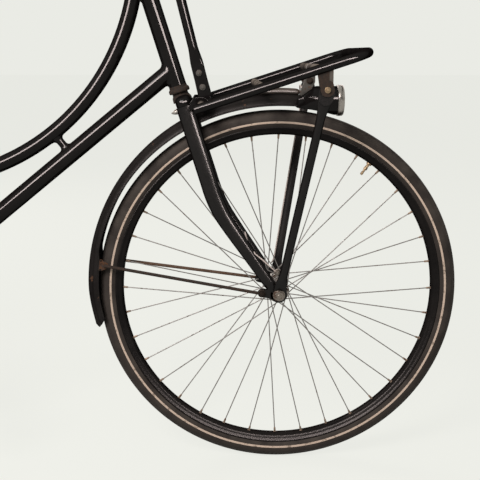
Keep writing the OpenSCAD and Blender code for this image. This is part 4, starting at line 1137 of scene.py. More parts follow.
def front_guard_shell():
    """Front guard, narrowed at the lamp, shallower along its middle and drawn in at the tail, with its rib."""
    shape = Shape()
    guard_shell(shape, FRONT_GUARD, FRONT_GUARD_R, lambda d: 83.5 + 0.7 * d, lambda d: 194.4 - 3.4 * d, 90)
    for p in shape.points:
        p.y *= 1 - LAMP_PINCH * ease((p.x - FRONT.x - 12) / 18)
        arm = p - FRONT_GUARD
        turn = math.degrees(math.atan2(arm.z, arm.x)) % 360
        r = math.hypot(arm.x, arm.z)
        shallow = mix(*SHALLOW[:2], ease((turn - 95) / 50))
        if turn >= TAIL_TURN:
            shallow = mix(*SHALLOW[1:], ease((turn - TAIL_TURN) / 5))
        drawn = FRONT_GUARD_R - (FRONT_GUARD_R - r) * shallow - 4.0 * ease((turn - 180) / 14)
        p.x, p.z = FRONT_GUARD.x + arm.x * drawn / r, FRONT_GUARD.z + arm.z * drawn / r
    peg = polar(FRONT_GUARD, FRONT_GUARD_R - 2, 117.2)
    shape.tube([peg, steer(CROWN_LOW + 2)], 8, 24)
    rib = [polar(FRONT_GUARD, FRONT_GUARD_R + 4.0, 85.2 + 23.6 * k / 24) for k in range(25)]
    shape.tube(rib, lambda share: (11.0, 6.2), 32, 1, dome=7.0, side=LEFT)
    return shape


def rear_guard_shell():
    """Rear guard and the peg that holds it to the seat tube."""
    shape = Shape()
    guard_shell(shape, REAR, REAR_GUARD_R, lambda d: 2, lambda d: 205 - 4 * d ** 3, 160)
    foot = (CRANK - REAR).dot(SEAT_FWD)
    shape.tube([REAR + SEAT_FWD * (REAR_GUARD_R - 2), REAR + SEAT_FWD * (foot - 12)], 8, 24)
    return shape


def guard_stay(shape, eye, tip, face, r):
    """Wire stay with a flattened eye at the axle end."""
    along = (tip - eye).normalized()
    path = resampled([eye + along * 4, tip], 20)
    shape.tube(path, lambda share: (r, r * mix(0.75, 1, min(1, share * 12))), 12, dome=r)
    out = 1 if eye.y > face else -1
    high = abs(eye.y - face)
    shape.lathe(Vector((eye.x, face, eye.z)), LEFT * out,
                [(0, 3), (0, 7), (high + 0.6, 7), (high + 1.2, 6.3), (high + 1.2, 3)], 28)


STAY_R = 3.0
TIP_TURN = 173
# Bracket's corners: place from the guard's edge and turn from the stay's tip.
BRACKET = ((-2.8, -1.5), (-2.8, 1.5), (-20, 0.1))
FRONT_LUG_FACE = 55.2
FRONT_EYE_Y = 58.8
REAR_LUG_FACE = 59.8
REAR_EYE = (-56, 56.2, 26)


def front_stay(s):
    """Stay, its three-cornered bracket on the guard's edge and the bolts."""
    shape = Shape()
    face = s * FRONT_LUG_FACE
    eye = FRONT + Vector((LUG[0], s * FRONT_EYE_Y, LUG[1]))
    edge = FRONT_GUARD_R - GUARD_DEEP
    tip = polar(FRONT_GUARD, edge - 12, TIP_TURN, s * (GUARD_HALF + STAY_R + 1.4))
    guard_stay(shape, eye, tip, face, STAY_R)
    corners = [polar(ORIGIN, edge + h, TIP_TURN + a) for h, a in BRACKET]
    outline = hull_outline([(p.x, p.z, 2.4) for p in corners], 16)
    shape.plate(outline, lambda u, v: FRONT_GUARD + Vector((u, s * (GUARD_HALF + 1.3), v)), LEFT * 2.0, 2)
    for p in corners[:2]:
        shape.dome_bolt(FRONT_GUARD + p + LEFT * s * (GUARD_HALF + 2.2), LEFT * s, 2.0, 1.4, 1)
    shape.hex_bolt(eye + LEFT * s * 1.2, LEFT * s, 5.0, 3.4, 1, washer=1.3, stud=1.2)
    return shape


def rear_stays():
    """Rear guard's wire stays with their bolts."""
    shape = Shape()
    for s in (-1, 1):
        face = s * REAR_LUG_FACE
        eye = REAR + Vector((REAR_EYE[0], s * REAR_EYE[1], REAR_EYE[2]))
        tip = polar(REAR, REAR_GUARD_R - GUARD_DEEP + 4, 178, s * (GUARD_HALF + 2.8))
        guard_stay(shape, eye, tip, face, 2.6)
        shape.hex_bolt(eye - LEFT * s * 1.2, -LEFT * s, 5.0, 3.4, 1, stud=1.2)
        shape.dome_bolt(tip + LEFT * s * 1.6, LEFT * s, 3.6, 2.4, 1)
    return shape


class BICYCLE_OT_mudguards(bpy.types.Operator):
    """Mudguards with rolled edges, the front one's rib, and the wire stays"""

    bl_idname = "bicycle.mudguards"
    bl_label = "Mudguards"

    def execute(self, context):
        make_piece("front_guard_shell", front_guard_shell(), "steering",
                   ["dull_enamel", "scuffed_enamel"], ["front_mudguard"], sharp=55)
        make_piece("rear_guard_shell", rear_guard_shell(), "frame", ["dull_enamel"],
                   ["rear_mudguard"], sharp=55)
        make_piece("front_guard_stay_right", front_stay(-1), "steering",
                   ["rust_dark", "rust_black", "rust_brown"], ["front_guard_stays"])
        make_piece("front_guard_stay_left", front_stay(1), "steering",
                   ["rust_tan", "rust_dark", "rust_brown"])
        make_piece("rear_guard_stay_pair", rear_stays(), "frame", ["dull_enamel", "dull_zinc"],
                   ["rear_guard_stays"])
        return {"FINISHED"}


# Front carrier and lamp.

CARRIER_LOW = -150
CARRIER_SLOPE = math.radians(18)
CARRIER_HALF = 150
CARRIER_DIR = Vector((math.cos(CARRIER_SLOPE), 0, math.sin(CARRIER_SLOPE)))
CROSS_AT = (-140, -38, 57)
STRUT_X = 68
STRUT_DROP = 38
UPRIGHT_Y = 45
FOOT_H = 78
FOOT_X = -132
STRUT_FOOT_Y = 56.6
STRUT_IN = 3.2
CARRIER_RISE = 339.4
WIRE_R = 1.25
WIRE_BOLT = (-3.5, 42.6)
STEM_H = 59.3
BAR_CENTRE = steer(HEAD_HIGH + STEM_H, 64)


def on_carrier(x, y, up=0.0):
    """Point on the sloped platform, from the front axle."""
    return FRONT + Vector((x, y, CARRIER_RISE + (x - CARRIER_LOW) * math.tan(CARRIER_SLOPE) + up))


def strut_ends(s):
    """Foot at the axle and head at the platform's tab."""
    return FRONT + LEFT * s * STRUT_FOOT_Y, on_carrier(STRUT_X, s * (CARRIER_HALF - STRUT_IN), -STRUT_DROP)


def carrier_strut(s):
    """Tube pressed flat at both ends, from the axle to the platform's tab."""
    shape = Shape()
    foot, head = strut_ends(s)
    length = (head - foot).length
    rise = (head - foot).normalized()

    def width(share):
        low, high = share * length, (1 - share) * length
        round_low, round_high = ease((low - 14) / 34), ease((high - 8) / 46)
        a = 7.4 + 3.4 * (1 - round_low) + 5.4 * (1 - round_high)
        return a, mix(1.5, mix(1.6, 7, round_low), round_high)

    shape.tube([mix(foot, head, k / 60) for k in range(61)], width, 28, dome=0.2, side=AHEAD)
    flat = hull_outline([(0, 0, 11), (rise.x * 16, rise.z * 16, 10.4)])
    shape.plate(flat, lambda u, v: FRONT + Vector((u, s * 56.7, v)), LEFT * 3.0)
    cap = hull_outline([(0, 2, 9.5), (-rise.x * 6, -rise.z * 6, 13.8), (-rise.x * 14, -rise.z * 14, 12.4)])
    shape.plate(cap, lambda u, v: head + Vector((u, 0, v)), LEFT * 3.0)
    return shape


def carrier_tabs():
    """Tabs under the rails with the bolts that hold the struts."""
    shape = Shape()
    for s in (-1, 1):
        at = on_carrier(STRUT_X, s * CARRIER_HALF)
        neck = hull_outline([(-15, -6, 3), (-1, -2, 3), (-9, -30, 5), (-3, -36, 6)])
        shape.plate(neck, lambda u, v: at + Vector((u, 0, v)), LEFT * 3.6)
        eye = hull_outline([(0, -STRUT_DROP, 11.5), (1.5, -31, 8.5)])
        shape.plate(eye, lambda u, v: at + Vector((u, 0, v)), LEFT * 4.2)
        bolt = at - UP * STRUT_DROP
        shape.hex_bolt(bolt + LEFT * s * 2.1, LEFT * s, 4.0, 3.4, 1, washer=1.3, stud=1.6)
        shape.hex_bolt(bolt - LEFT * s * 4.6, -LEFT * s, 6.6, 4.6, 1, washer=1.3)
        end = on_carrier(CARRIER_LOW, s * CARRIER_HALF)
        plug = [(0, 7.9), (1, 7.9), (2.2, 7.0), (2.8, 4.5), (3, 1)]
        shape.lathe(end + CARRIER_DIR * 1.0, -CARRIER_DIR, plug, 32, 2)
    return shape


def upright_ends(s):
    """Foot on the platform and head at the handlebar's clamp."""
    return on_carrier(FOOT_X, s * UPRIGHT_Y, 4), Vector((BAR_CENTRE.x, s * UPRIGHT_Y, BAR_CENTRE.z))


def carrier_upright(s):
    """Upright tube, pressed flat and bolted at the foot, clamped round the handlebar at the top."""
    shape = Shape()
    foot, high = upright_ends(s)
    length = (high - foot).length

    def width(share):
        t = ease((share * length - FOOT_H + 14) / 34)
        return mix(10.8, 8, t), mix(2.6, 8, t)

    shape.tube([mix(foot, high, k / 70) for k in range(71)], width, 28, dome=2, side=AHEAD)
    rise = (high - foot).normalized()
    flat = hull_outline([(rise.x * 12, rise.z * 12, 11.4), (rise.x * 58, rise.z * 58, 10.2)])
    shape.plate(flat, lambda u, v: foot + Vector((u, 0, v)), LEFT * 6.0)
    shape.lathe(high - LEFT * 9, LEFT, [(0, 11.2), (0, 14.4), (0.9, 15.2), (17.1, 15.2), (18, 14.4), (18, 11.2)], 40)
    shape.hex_bolt(high + Vector((13, 0, 0)), AHEAD, 5.4, 4)
    return shape


def upright_feet():
    """Angle plates between the uprights and the platform's rear bar."""
    shape = Shape()
    for s in (-1, 1):
        at = on_carrier(CROSS_AT[0], s * UPRIGHT_Y)
        outline = [(-20, -9), (14, -9), (16, -4), (14, 6), (6, 13), (-14, 13), (-20, 4)]
        shape.plate(outline, lambda u, v: at + Vector((u, s * 6.0, v)), LEFT * 5.0)
    return shape


def upright_bolts():
    """Two bolts through each upright's flat foot."""
    shape = Shape()
    for s in (-1, 1):
        foot, high = upright_ends(s)
        rise = (high - foot).normalized()
        for up in (24.5, 50):
            for side in (-1, 1):
                shape.hex_bolt(foot + rise * up + LEFT * side * 3.0, LEFT * side, 4.2, 3.0, washer=1.3, stud=1.4)
    return shape


LAMP = FRONT + Vector((42.5, 0, 347.5))
LAMP_R = 27.8
LAMP_BACK = (10.2, math.tan(math.radians(35)))
LAMP_TAIL = -11
LAMP_MOUTH = 61
LENS_R = 24.4
LENS_AT = 69.9
LENS_BULGE = 4.6
LENS_T = 2.0
LENS_STEPS = 12
FLUTE = 0.35
TYRE_ROOM = 5.6


def lamp_trim(points):
    """Slopes the lamp's back and hollows it where the tyre needs room."""
    out = []
    for p in points:
        roof = LAMP.z + LAMP_BACK[0] + (p.x - LAMP.x) * LAMP_BACK[1]
        over = p.z - roof
        z = p.z if over < -2 else roof - 2 + 2 * math.tanh((over + 2) / 2)
        p = Vector((p.x, p.y, z))
        d = Vector((p.x - FRONT.x, 0, p.z - FRONT.z))
        short = TYRE_R + TYRE_ROOM - d.length
        out.append(p + d.normalized() * short if short > 0 else p)
    return out


def lamp_shell():
    """Lamp's body, closed at the back."""
    shape = Shape()
    body = LAMP_R - 1.8
    rows = [(LAMP_TAIL, body * k / 8) for k in range(8)] + [(LAMP_TAIL, body - 1.2), (LAMP_TAIL + 1.2, body)]
    rows += [(mix(LAMP_TAIL + 1.2, LAMP_MOUTH, k / 32), body) for k in range(1, 33)]
    rows.append((LAMP_MOUTH, body - 2))
    shape.lathe(LAMP, AHEAD, rows, 96)
    shape.points = lamp_trim(shape.points)
    return shape


def lamp_bright():
    """Chrome ring and the dish behind the lens."""
    shape = Shape()
    ring = [(LAMP_MOUTH, 24.5), (LAMP_MOUTH, 27.0), (62.5, 28.0), (66.5, 28.2), (70.5, 27.8), (72.5, 26.6),
            (72.7, 25.0), (70.5, 24.6)]
    shape.lathe(LAMP, AHEAD, ring, 72, wrap=True)
    dish = [(62.5, 0.4), (62.7, 6), (63.7, 12), (65.5, 18), (68.1, 24.6), (68.9, 24.6), (66.5, 18.4), (64.7, 12),
            (63.7, 6), (63.5, 0.4)]
    shape.lathe(LAMP, AHEAD, dish, 64)
    return shape


def lamp_lens():
    """Bulged lens with upright flutes on its outer face."""
    shape = Shape()
    rings = []
    share = [k / LENS_STEPS for k in range(LENS_STEPS + 1)]
    for side in (0.0, -LENS_T):
        for f in (share if side == 0 else reversed(share)):
            ring = []
            for t in turns(64):
                y, z = LENS_R * f * math.cos(t), LENS_R * f * math.sin(t)
                flute = FLUTE * math.cos(y * 2.2) if side == 0 and f < 0.97 else 0.0
                ring.append(LAMP + Vector((LENS_AT + side + LENS_BULGE * (1 - f * f) + flute, y, z)))
            rings.append(ring)
    shape.loft(rings)
    return shape


def lamp_lug():
    """Two-part lug from the platform's front bar to the lamp's back, and its bolt."""
    shape = Shape()
    bar = on_carrier(CROSS_AT[2], 0)
    upper, lower = hull_outline([(-1, -2, 8.6), (-2.4, -24, 9.8)]), hull_outline([(-2.4, -24, 9.6), (-13, -48, 8)])
    shape.plate(upper, lambda u, v: bar + Vector((u, 0, v)), LEFT * 4.4, 1)
    shape.plate(lower, lambda u, v: bar + Vector((u, -3.6, v)), LEFT * 3.0, 1)
    shape.hex_bolt(bar + Vector((-2.4, -5.2, -24)), -LEFT, 4.6, 4, washer=1.4, stud=1.6)
    shape.hex_bolt(bar + Vector((-2.4, 2.2, -24)), LEFT, 4.6, 4, washer=1.4)
    return shape


def lamp_wires():
    """Two pale wires from a bolt beside the fork end, one to the blade, one up the far strut."""
    shape = Shape()
    bolt = FRONT + Vector((WIRE_BOLT[0], -63, WIRE_BOLT[1]))
    blade = [bolt + Vector(step) for step in ((-3, 1, 2), (-14, 1, 12), (-28, 4, 24), (-40, 8, 33), (-52, 17, 48),
                                              (-58, 20, 70))]
    shape.tube(resampled(rounded(blade, 8, 5), 6), WIRE_R, 10, dome=1.2)
    foot, head = strut_ends(1)
    along = [mix(foot, head, t) + Vector((-8.6, -3, 0)) for t in (0.1, 0.3, 0.5, 0.7, 0.88)]
    path = [FRONT + Vector((-4, 58, 36))] + along + [LAMP + Vector((0, 60, 28)), LAMP + Vector((6, 12, 8))]
    shape.tube(resampled(rounded(path, 20, 5), 10), WIRE_R, 10, dome=1.2)
    return shape


def wire_bolt():
    """Small tab and bolt beside the fork end that holds the wires."""
    shape = Shape()
    at = FRONT + Vector((WIRE_BOLT[0], -58.4, WIRE_BOLT[1]))
    shape.plate(hull_outline([(0, 0, 6), (10, -2, 5)]), lambda u, v: at + Vector((u, 0, v)), LEFT * 2.4)
    shape.hex_bolt(at - LEFT * 1.2, -LEFT, 4.6, 4.0, washer=1.3, stud=1.6)
    return shape


class BICYCLE_OT_carrier(bpy.types.Operator):
    """Front carrier's struts, tabs, uprights and feet"""

    bl_idname = "bicycle.carrier"
    bl_label = "Front carrier"

    def execute(self, context):
        for label, s in SIDES:
            make_piece("carrier_strut_" + label, carrier_strut(s), "steering",
                       ["satin_enamel"] if s < 0 else ["shaded_enamel"],
                       ["carrier_struts"] if s < 0 else (), sharp=55)
            make_piece("carrier_upright_" + label, carrier_upright(s), "steering",
                       ["gloss_enamel"], ["carrier_uprights"] if s < 0 else (), sharp=55)
        make_piece("carrier_tabs", carrier_tabs(), "steering",
                   ["rust_dark", "brass", "gloss_enamel"], bevel=0.5)
        make_piece("upright_feet", upright_feet(), "steering", ["gloss_enamel"], bevel=0.8)
        make_piece("upright_bolts", upright_bolts(), "steering", ["aged_steel"])
        return {"FINISHED"}


class BICYCLE_OT_lamp(bpy.types.Operator):
    """Head lamp with its ring, lens, lug and wires"""

    bl_idname = "bicycle.lamp"
    bl_label = "Head lamp"

    def execute(self, context):
        make_piece("lamp_shell", lamp_shell(), "steering", ["gloss_enamel"], ["head_lamp"], sharp=40)
        make_piece("lamp_bright", lamp_bright(), "steering", ["worn_chrome"], sharp=60)
        make_piece("lamp_lens", lamp_lens(), "steering", ["clear_lens"], ["head_lamp_glass"], sharp=60)
        make_piece("lamp_lug", lamp_lug(), "steering", ["rust_dark", "aged_steel"], bevel=0.5)
        make_piece("lamp_wires", lamp_wires(), "steering", ["pale_cable"], sharp=60)
        make_piece("wire_bolt", wire_bolt(), "steering", ["dark_zinc"])
        return {"FINISHED"}


# Frame.

DOWN_TURN = math.radians(39.4)
DOWN_DIR = Vector((-math.cos(DOWN_TURN), 0, -math.sin(DOWN_TURN)))
DOWN_SQUARE = Vector((-math.sin(DOWN_TURN), 0, math.cos(DOWN_TURN)))
DOWN_JOIN = HEAD_LOW + 30
DOWN_R = 15.9
TOP_R = 14
HEAD_R = 15.9
SEAT_R = 14.3
SEAT_LEN = 470
SHELL_R = 20
TUBE_GAP = 20.1
BRIDGE_BACK = 8
BRIDGE_R = 7
BRIDGE_BEAD = 7.5
TOP_FROM = polar(ORIGIN, 1, -2)
TOP_JOIN = steer(HEAD_HIGH - 38)
TOP_BEND = (((TOP_JOIN - CRANK).dot(DOWN_SQUARE) - TUBE_GAP - TOP_R - DOWN_R) / (1 + TOP_FROM.dot(DOWN_SQUARE)))
TOP_CENTRE = TOP_JOIN - TOP_FROM * TOP_BEND
TOP_FALL = 9
TOP_SLOPE = math.radians(TOP_FALL)
TOP_RUN = Vector((-math.cos(TOP_SLOPE), 0, -math.sin(TOP_SLOPE)))
TOP_END = polar(TOP_CENTRE, TOP_BEND, TOP_FALL - 90)
TOP_SEAT = TOP_END + TOP_RUN * ((CRANK - TOP_END).dot(SEAT_FWD) / TOP_RUN.dot(SEAT_FWD))


def seat(t, fwd=0.0, y=0.0):
    """Point beside the seat tube: height from the bottom bracket, forward offset and side."""
    return CRANK + SEAT_UP * t + SEAT_FWD * fwd + LEFT * y


def brazed_joints():
    """Filled corners where the tubes meet."""
    shape = Shape()
    down = steer(DOWN_JOIN)
    shape.fillet(down, DOWN_DIR, DOWN_R, down, STEER_UP, HEAD_R, 8)
    web = [(156, -13), (158.6, -15.9), (161.6, -17.6), (162.6, -19.6), (161.6, -21.6), (158.6, -23.6), (156, -27),
           (190, -22), (200, -16), (200, -13)]
    shape.plate(web, lambda t, fwd: steer(HEAD_LOW + t, fwd), LEFT * 15)
    shape.fillet(CRANK, -DOWN_DIR, DOWN_R, CRANK, LEFT, SHELL_R, 6)
    shape.fillet(CRANK, SEAT_UP, SEAT_R, CRANK, LEFT, SHELL_R, 6)
    shape.fillet(TOP_SEAT, -TOP_RUN, TOP_R, seat(0), SEAT_UP, SEAT_R, 6)
    at = down + DOWN_DIR * ((TOP_CENTRE - down).dot(DOWN_DIR) + BRIDGE_BACK)
    top = at + DOWN_SQUARE * (DOWN_R + TOP_R + TUBE_GAP)
    shape.fillet(at, DOWN_SQUARE, BRIDGE_R, at, DOWN_DIR, DOWN_R, BRIDGE_BEAD)
    shape.fillet(top, -DOWN_SQUARE, BRIDGE_R, top, DOWN_DIR, TOP_R, BRIDGE_BEAD)
    return shape


def seat_collar():
    """Collar with its pinch bolt."""
    shape = Shape()
    rows = [(0, 14.3), (0, 16.6), (0.8, 17.3), (27.2, 17.3), (28, 16.6), (28, 12.6)]
    shape.lathe(seat(SEAT_LEN - 32), SEAT_UP, rows, 48)
    at = seat(SEAT_LEN - 12, -20)
    ear = hull_outline([(-6, 0, 5), (5, 0, 6)], 20)
    for s in (-1, 1):
        shape.plate(ear, lambda u, v: at - SEAT_FWD * u + SEAT_UP * v + LEFT * s * 4, LEFT * 4)
    shape.hex_bolt(at - SEAT_FWD * 4 - LEFT * 6, -LEFT, 5.6, 4.2, 1, washer=1.2)
    shape.hex_bolt(at - SEAT_FWD * 4 + LEFT * 6, LEFT, 5.6, 4.6, 1, washer=1.2, stud=2)
    return shape


STAY_BEND = 90
DROP_Y = 62.5


def stay_tube(shape, points, r, flat):
    """Bent stay drawn thinner and pressed flat into the dropout's slot."""

    def width(share):
        drawn = r * mix(1.0, 0.86, ease((share - 0.5) * 2))
        return drawn, mix(drawn, 3.4, ease((share - 0.93) / 0.06))

    shape.tube(resampled(rounded(points, STAY_BEND, 10), 14), width, 24, dome=2.0, side=flat)


def rear_triangle():
    """Chain stays, seat stays and their bridges."""
    shape = Shape()
    along = (CRANK - REAR).normalized()
    top = seat(SEAT_LEN - 20)
    rise = (top - REAR).normalized()
    for s in (-1, 1):
        stay_tube(shape, [REAR + along * 444 + LEFT * s * 24, REAR + along * 392 + LEFT * s * 40,
                          REAR + along * 40 + LEFT * s * DROP_Y], 8, UP)
        stay_tube(shape, [top + LEFT * s * 22, REAR + rise * 392 + LEFT * s * 40,
                          REAR + rise * 38 + LEFT * s * DROP_Y], 7, AHEAD)
    for way, far, r in ((along, 385, 6), (rise, 388, 5)):
        shape.tube([REAR + way * far + LEFT * y for y in (-38, 38)], r, 20)
    return shape


class BICYCLE_OT_frame(bpy.types.Operator):
    """Brazed joints, seat collar and the rear stays"""

    bl_idname = "bicycle.frame"
    bl_label = "Frame"

    def execute(self, context):
        make_piece("brazed_joints", brazed_joints(), "frame", ["gloss_enamel"], sharp=70)
        make_piece("seat_collar", seat_collar(), "frame", ["gloss_enamel", "dull_zinc"], bevel=0.6)
        make_piece("rear_stays", rear_triangle(), "frame", ["gloss_enamel"],
                   ["chain_stays", "seat_stays"], sharp=60)
        return {"FINISHED"}


# Handlebar.

BAR_R = 11.1
BAR_HALF = 280
BAR_RISE = 48
BAR_SWEEP = 205
BAR_BEND = 42
GRIP_LEN = 120
BELL_AT = 0.66


def bar_points(s):
    """Corners of one half of the handlebar, from the stem to the grip's end."""
    rows = ((0, 0.28, 0), (0.1, 0.535, 1), (-0.15, 0.91, 1.125), (-1, 0.95, 0.54))
    return [BAR_CENTRE + Vector((a * BAR_SWEEP, s * b * BAR_HALF, c * BAR_RISE)) for a, b, c in rows]


def bar_tube():
    """Swept handlebar."""
    shape = Shape()
    points = bar_points(-1)[::-1] + bar_points(1)
    shape.tube(resampled(rounded(points, BAR_BEND, 12), 12), BAR_R, 32)
    return shape


def grip_pair():
    """Moulded grips with rings, flats and a mushroom end."""
    shape = Shape()
    for s in (-1, 1):
        points = bar_points(s)
        back = (points[3] - points[2]).normalized()
        start = points[3] - back * GRIP_LEN
        rows = [(0, 11.2), (0, 13.4), (1.2, 14.6), (5, 14.8), (6.4, 13.4)]
        for k in range(9):
            h = 9 + 11.4 * k
            rows += [(h, 13.4), (h + 1.2, 14.4), (h + 7.4, 14.4), (h + 8.6, 13.4)]
        cap = ((-4, 13.6), (0, 15.4), (3, 16.2), (6, 15.2), (8, 11), (8.4, 2))
        rows += [(GRIP_LEN + h, r) for h, r in cap]
        shape.lathe(start, back, rows, 40)
    return shape


def bar_fittings():
    """Expander bolt on the stem, clamp bolt and the bell's thumb lever."""
    shape = Shape()
    top = steer(HEAD_HIGH + STEM_H)
    shape.hex_bolt(top + STEER_UP * 11.6, STEER_UP, 8, 5, washer=1.25)
    shape.hex_bolt(BAR_CENTRE + Vector((-2, 0, -15.2)), -UP, 6, 5, washer=1.3)
    for s in (-1, 1):
        shape.lathe(BAR_CENTRE + LEFT * s * 22, LEFT * s, [(0, 11.3), (0, 15.8), (1, 15.2), (1.4, 11.3)], 40)
    a, b = bar_points(1)[:2]
    d = (b - a).normalized()
    up = d.cross(UP.cross(d)).normalized()
    bell = mix(a, b, BELL_AT)
    at = bell + up * (BAR_R + 8)
    lever = [at - d * 20, at - d * 32 + AHEAD * -6, at - d * 38 + AHEAD * -22]
    shape.tube(resampled(rounded(lever, 6, 5), 4), lambda share: (3.2 + 2.6 * share, 1.6), 14, dome=1.5, side=AHEAD)
    shape.dome_bolt(bell + up * (BAR_R + 31.6), up, 4.2, 3)
    return shape


class BICYCLE_OT_handlebar(bpy.types.Operator):
    """Handlebar, grips and the stem's bolts"""

    bl_idname = "bicycle.handlebar"
    bl_label = "Handlebar"

    def execute(self, context):
        make_piece("bar_tube", bar_tube(), "steering", ["bright_chrome"], ["handlebar"], sharp=60)
        make_piece("grip_pair", grip_pair(), "steering", ["black_rubber"], ["grips"])
        make_piece("bar_fittings", bar_fittings(), "steering", ["bright_chrome"])
        return {"FINISHED"}


# Saddle.

SADDLE = seat(SEAT_LEN + 85)
SADDLE_PAD = SADDLE + UP * 42
SPRING_X = -92
SPRING_Y = 52
SPRING_H = 40.8
COILS = 6
COIL_STEPS = 18
COIL_R = 12.2
SADDLE_WIRE_R = 3.6
WELT_R = 2.0
WELT_AT = 0.42

# Stations of the padded top: forward place, half width, top and underside above the springs' heads.
SADDLE_ROWS = (
    (-115, 22, 21, 16), (-113, 38, 26, 11), (-106, 56, 31, 6), (-94, 70, 35, 2.5), (-80, 78, 37.5, 1),
    (-62, 81, 39.5, 0.6), (-42, 79, 40.2, 0.6), (-22, 72, 40, 0.8), (0, 59, 38.6, 1), (22, 46, 37, 1.2),
    (46, 36, 35.4, 1.4), (72, 29, 33.8, 1.6), (98, 24.5, 32.4, 2), (120, 20.5, 31, 2.6), (134, 16.5, 29, 4),
    (142, 11, 25.5, 7), (145, 5, 20, 12),
)


def saddle_pad():
    """Padded top: two sit bones' swell, a hollow along the middle and a turned-in skirt."""
    shape = Shape()
    rings = []
    for x, half, top, low in SADDLE_ROWS:
        ring = []
        for t in turns(48):
            c, z = math.cos(t), math.sin(t)
            y = half * math.copysign(abs(c) ** 0.72, c)
            mid = mix(low, top, WELT_AT)
            rise = (top - mid) * abs(z) ** 0.9 if z > 0 else -(mid - low) * abs(z) ** 0.5
            swell = 0.0
            if z > 0:
                side = abs(y) / half
                swell = -2.6 * math.exp(-(side / 0.28) ** 2) * ease((half - 10) / 50)
            ring.append(SADDLE_PAD + Vector((x, y * (1.0 if z > 0 else 1 - 0.12 * abs(z)), mid + rise + swell)))
        rings.append(ring)
    shape.loft(rings)
    return shape


def saddle_piping():
    """Welt sewn round the top's edge."""
    shape = Shape()
    rim = [(x, half, mix(low, top, WELT_AT)) for x, half, top, low in SADDLE_ROWS]
    loop = [SADDLE_PAD + Vector((x, -y, z)) for x, y, z in rim]
    loop += [SADDLE_PAD + Vector((x, y, z)) for x, y, z in reversed(rim)]
    rings = []
    count = len(loop)
    for i, p in enumerate(loop):
        d = (loop[(i + 1) % count] - loop[i - 1]).normalized()
        side = UP.cross(d).normalized()
        up = d.cross(side)
        rings.append([p + around(side, up, t) * WELT_R for t in turns(10)])
    shape.loft(rings, wrap=True)
    return shape


def saddle_wires():
    """Bent wires, the clamp with its bolt, and the coil springs."""
    shape = Shape()
    low = 1 - SADDLE_WIRE_R - 0.4
    for s in (-1, 1):
        path = [Vector((SPRING_X, s * SPRING_Y, low)), Vector((SPRING_X + 32, s * 22, low)),
                Vector((65.5, s * 18, SADDLE_WIRE_R)), Vector((122, s * 8, 34))]
        path = resampled(rounded([SADDLE + p for p in path], 15, 8), 7)
        shape.tube(path, SADDLE_WIRE_R, 16, dome=3)
        jaw = [(0, 12.8), (0, 15), (5, 15.4), (6, 14.6), (6, 12)]
        shape.lathe(SADDLE + Vector((0, s * 15, 0)), LEFT * s, jaw, 40)
        shape.hex_bolt(SADDLE + LEFT * s * 21, LEFT * s, 8, 6, washer=1.3, stud=3)
        foot = SADDLE + Vector((SPRING_X, s * SPRING_Y, 1))
        helix = []
        steps = COILS * COIL_STEPS
        for k in range(steps + 1):
            turn = math.radians(360 / COIL_STEPS) * k
            helix.append(foot + Vector((COIL_R * math.cos(turn), s * COIL_R * math.sin(turn),
                                        3.2 + (SPRING_H - 6.4) * k / steps)))
        shape.tube(helix, 2.5, 10, dome=2)
        cup = [(0, 2), (0, 14.2), (1.4, 14.6), (2.2, 13.8), (2.2, 9), (7, 8), (7, 2)]
        for h, up in ((0.2, 1), (SPRING_H - 0.2, -1)):
            shape.lathe(foot + UP * h, UP * up, cup, 32)
    shape.lathe(SADDLE - LEFT * 15, LEFT, [(0, 4), (0, 14.6), (30, 14.6), (30, 4)], 40)
    return shape


class BICYCLE_OT_saddle(bpy.types.Operator):
    """Padded saddle with its welt, wires, clamp and springs"""

    bl_idname = "bicycle.saddle"
    bl_label = "Saddle"

    def execute(self, context):
        pad = make_piece("saddle_pad", saddle_pad(), "frame", ["saddle_hide"], ["saddle_top"],
                         sharp=80, smooth_level=1)
        make_piece("saddle_piping", saddle_piping(), "frame", ["saddle_hide"], sharp=80)
        make_piece("saddle_wires", saddle_wires(), "frame", ["dull_zinc"],
                   ["saddle_frame", "saddle_springs"], sharp=50)
        return {"FINISHED"}


# Cranks, pedals and chain case.

CRANK_TURN = -25
CRANK_LEN = 152
CRANK_IN = 62
CRANK_T = 14
PEDAL_IN = 81
PEDAL_L = 92
PEDAL_W = 66
PEDAL_RIBS = 15


def crank_end(s):
    """Pedal end of a crank, on its inner face."""
    return polar(CRANK, CRANK_LEN, CRANK_TURN if s < 0 else CRANK_TURN + 180, s * CRANK_IN)


def crank_fittings():
    """Cotter pins through the cranks' heads, spindle ends and pedal eyes."""
    shape = Shape()
    for s in (-1, 1):
        out = s * (CRANK_IN + CRANK_T)
        arm = (crank_end(s) - CRANK).normalized()
        cross = Vector((-arm.z, 0, arm.x))
        mid = CRANK + LEFT * s * (CRANK_IN + CRANK_T / 2)
        shape.lathe(mid + arm * 9 - cross * 21, cross, [(0, 3.4), (1, 4.2), (38, 4.2), (38, 3)], 20)
        shape.hex_bolt(mid + arm * 9 + cross * 16.6, cross, 5.4, 4.4, washer=1.25)
        shape.lathe(CRANK + LEFT * out, LEFT * s, [(0, 8), (0.8, 8.4), (1.6, 7.6), (1.8, 3)], 32)
        end = crank_end(s)
        shape.lathe(Vector((end.x, out, end.z)), LEFT * s, [(-0.4, 8.4), (1.2, 8.6), (2, 8), (2, 5)], 32)
    return shape


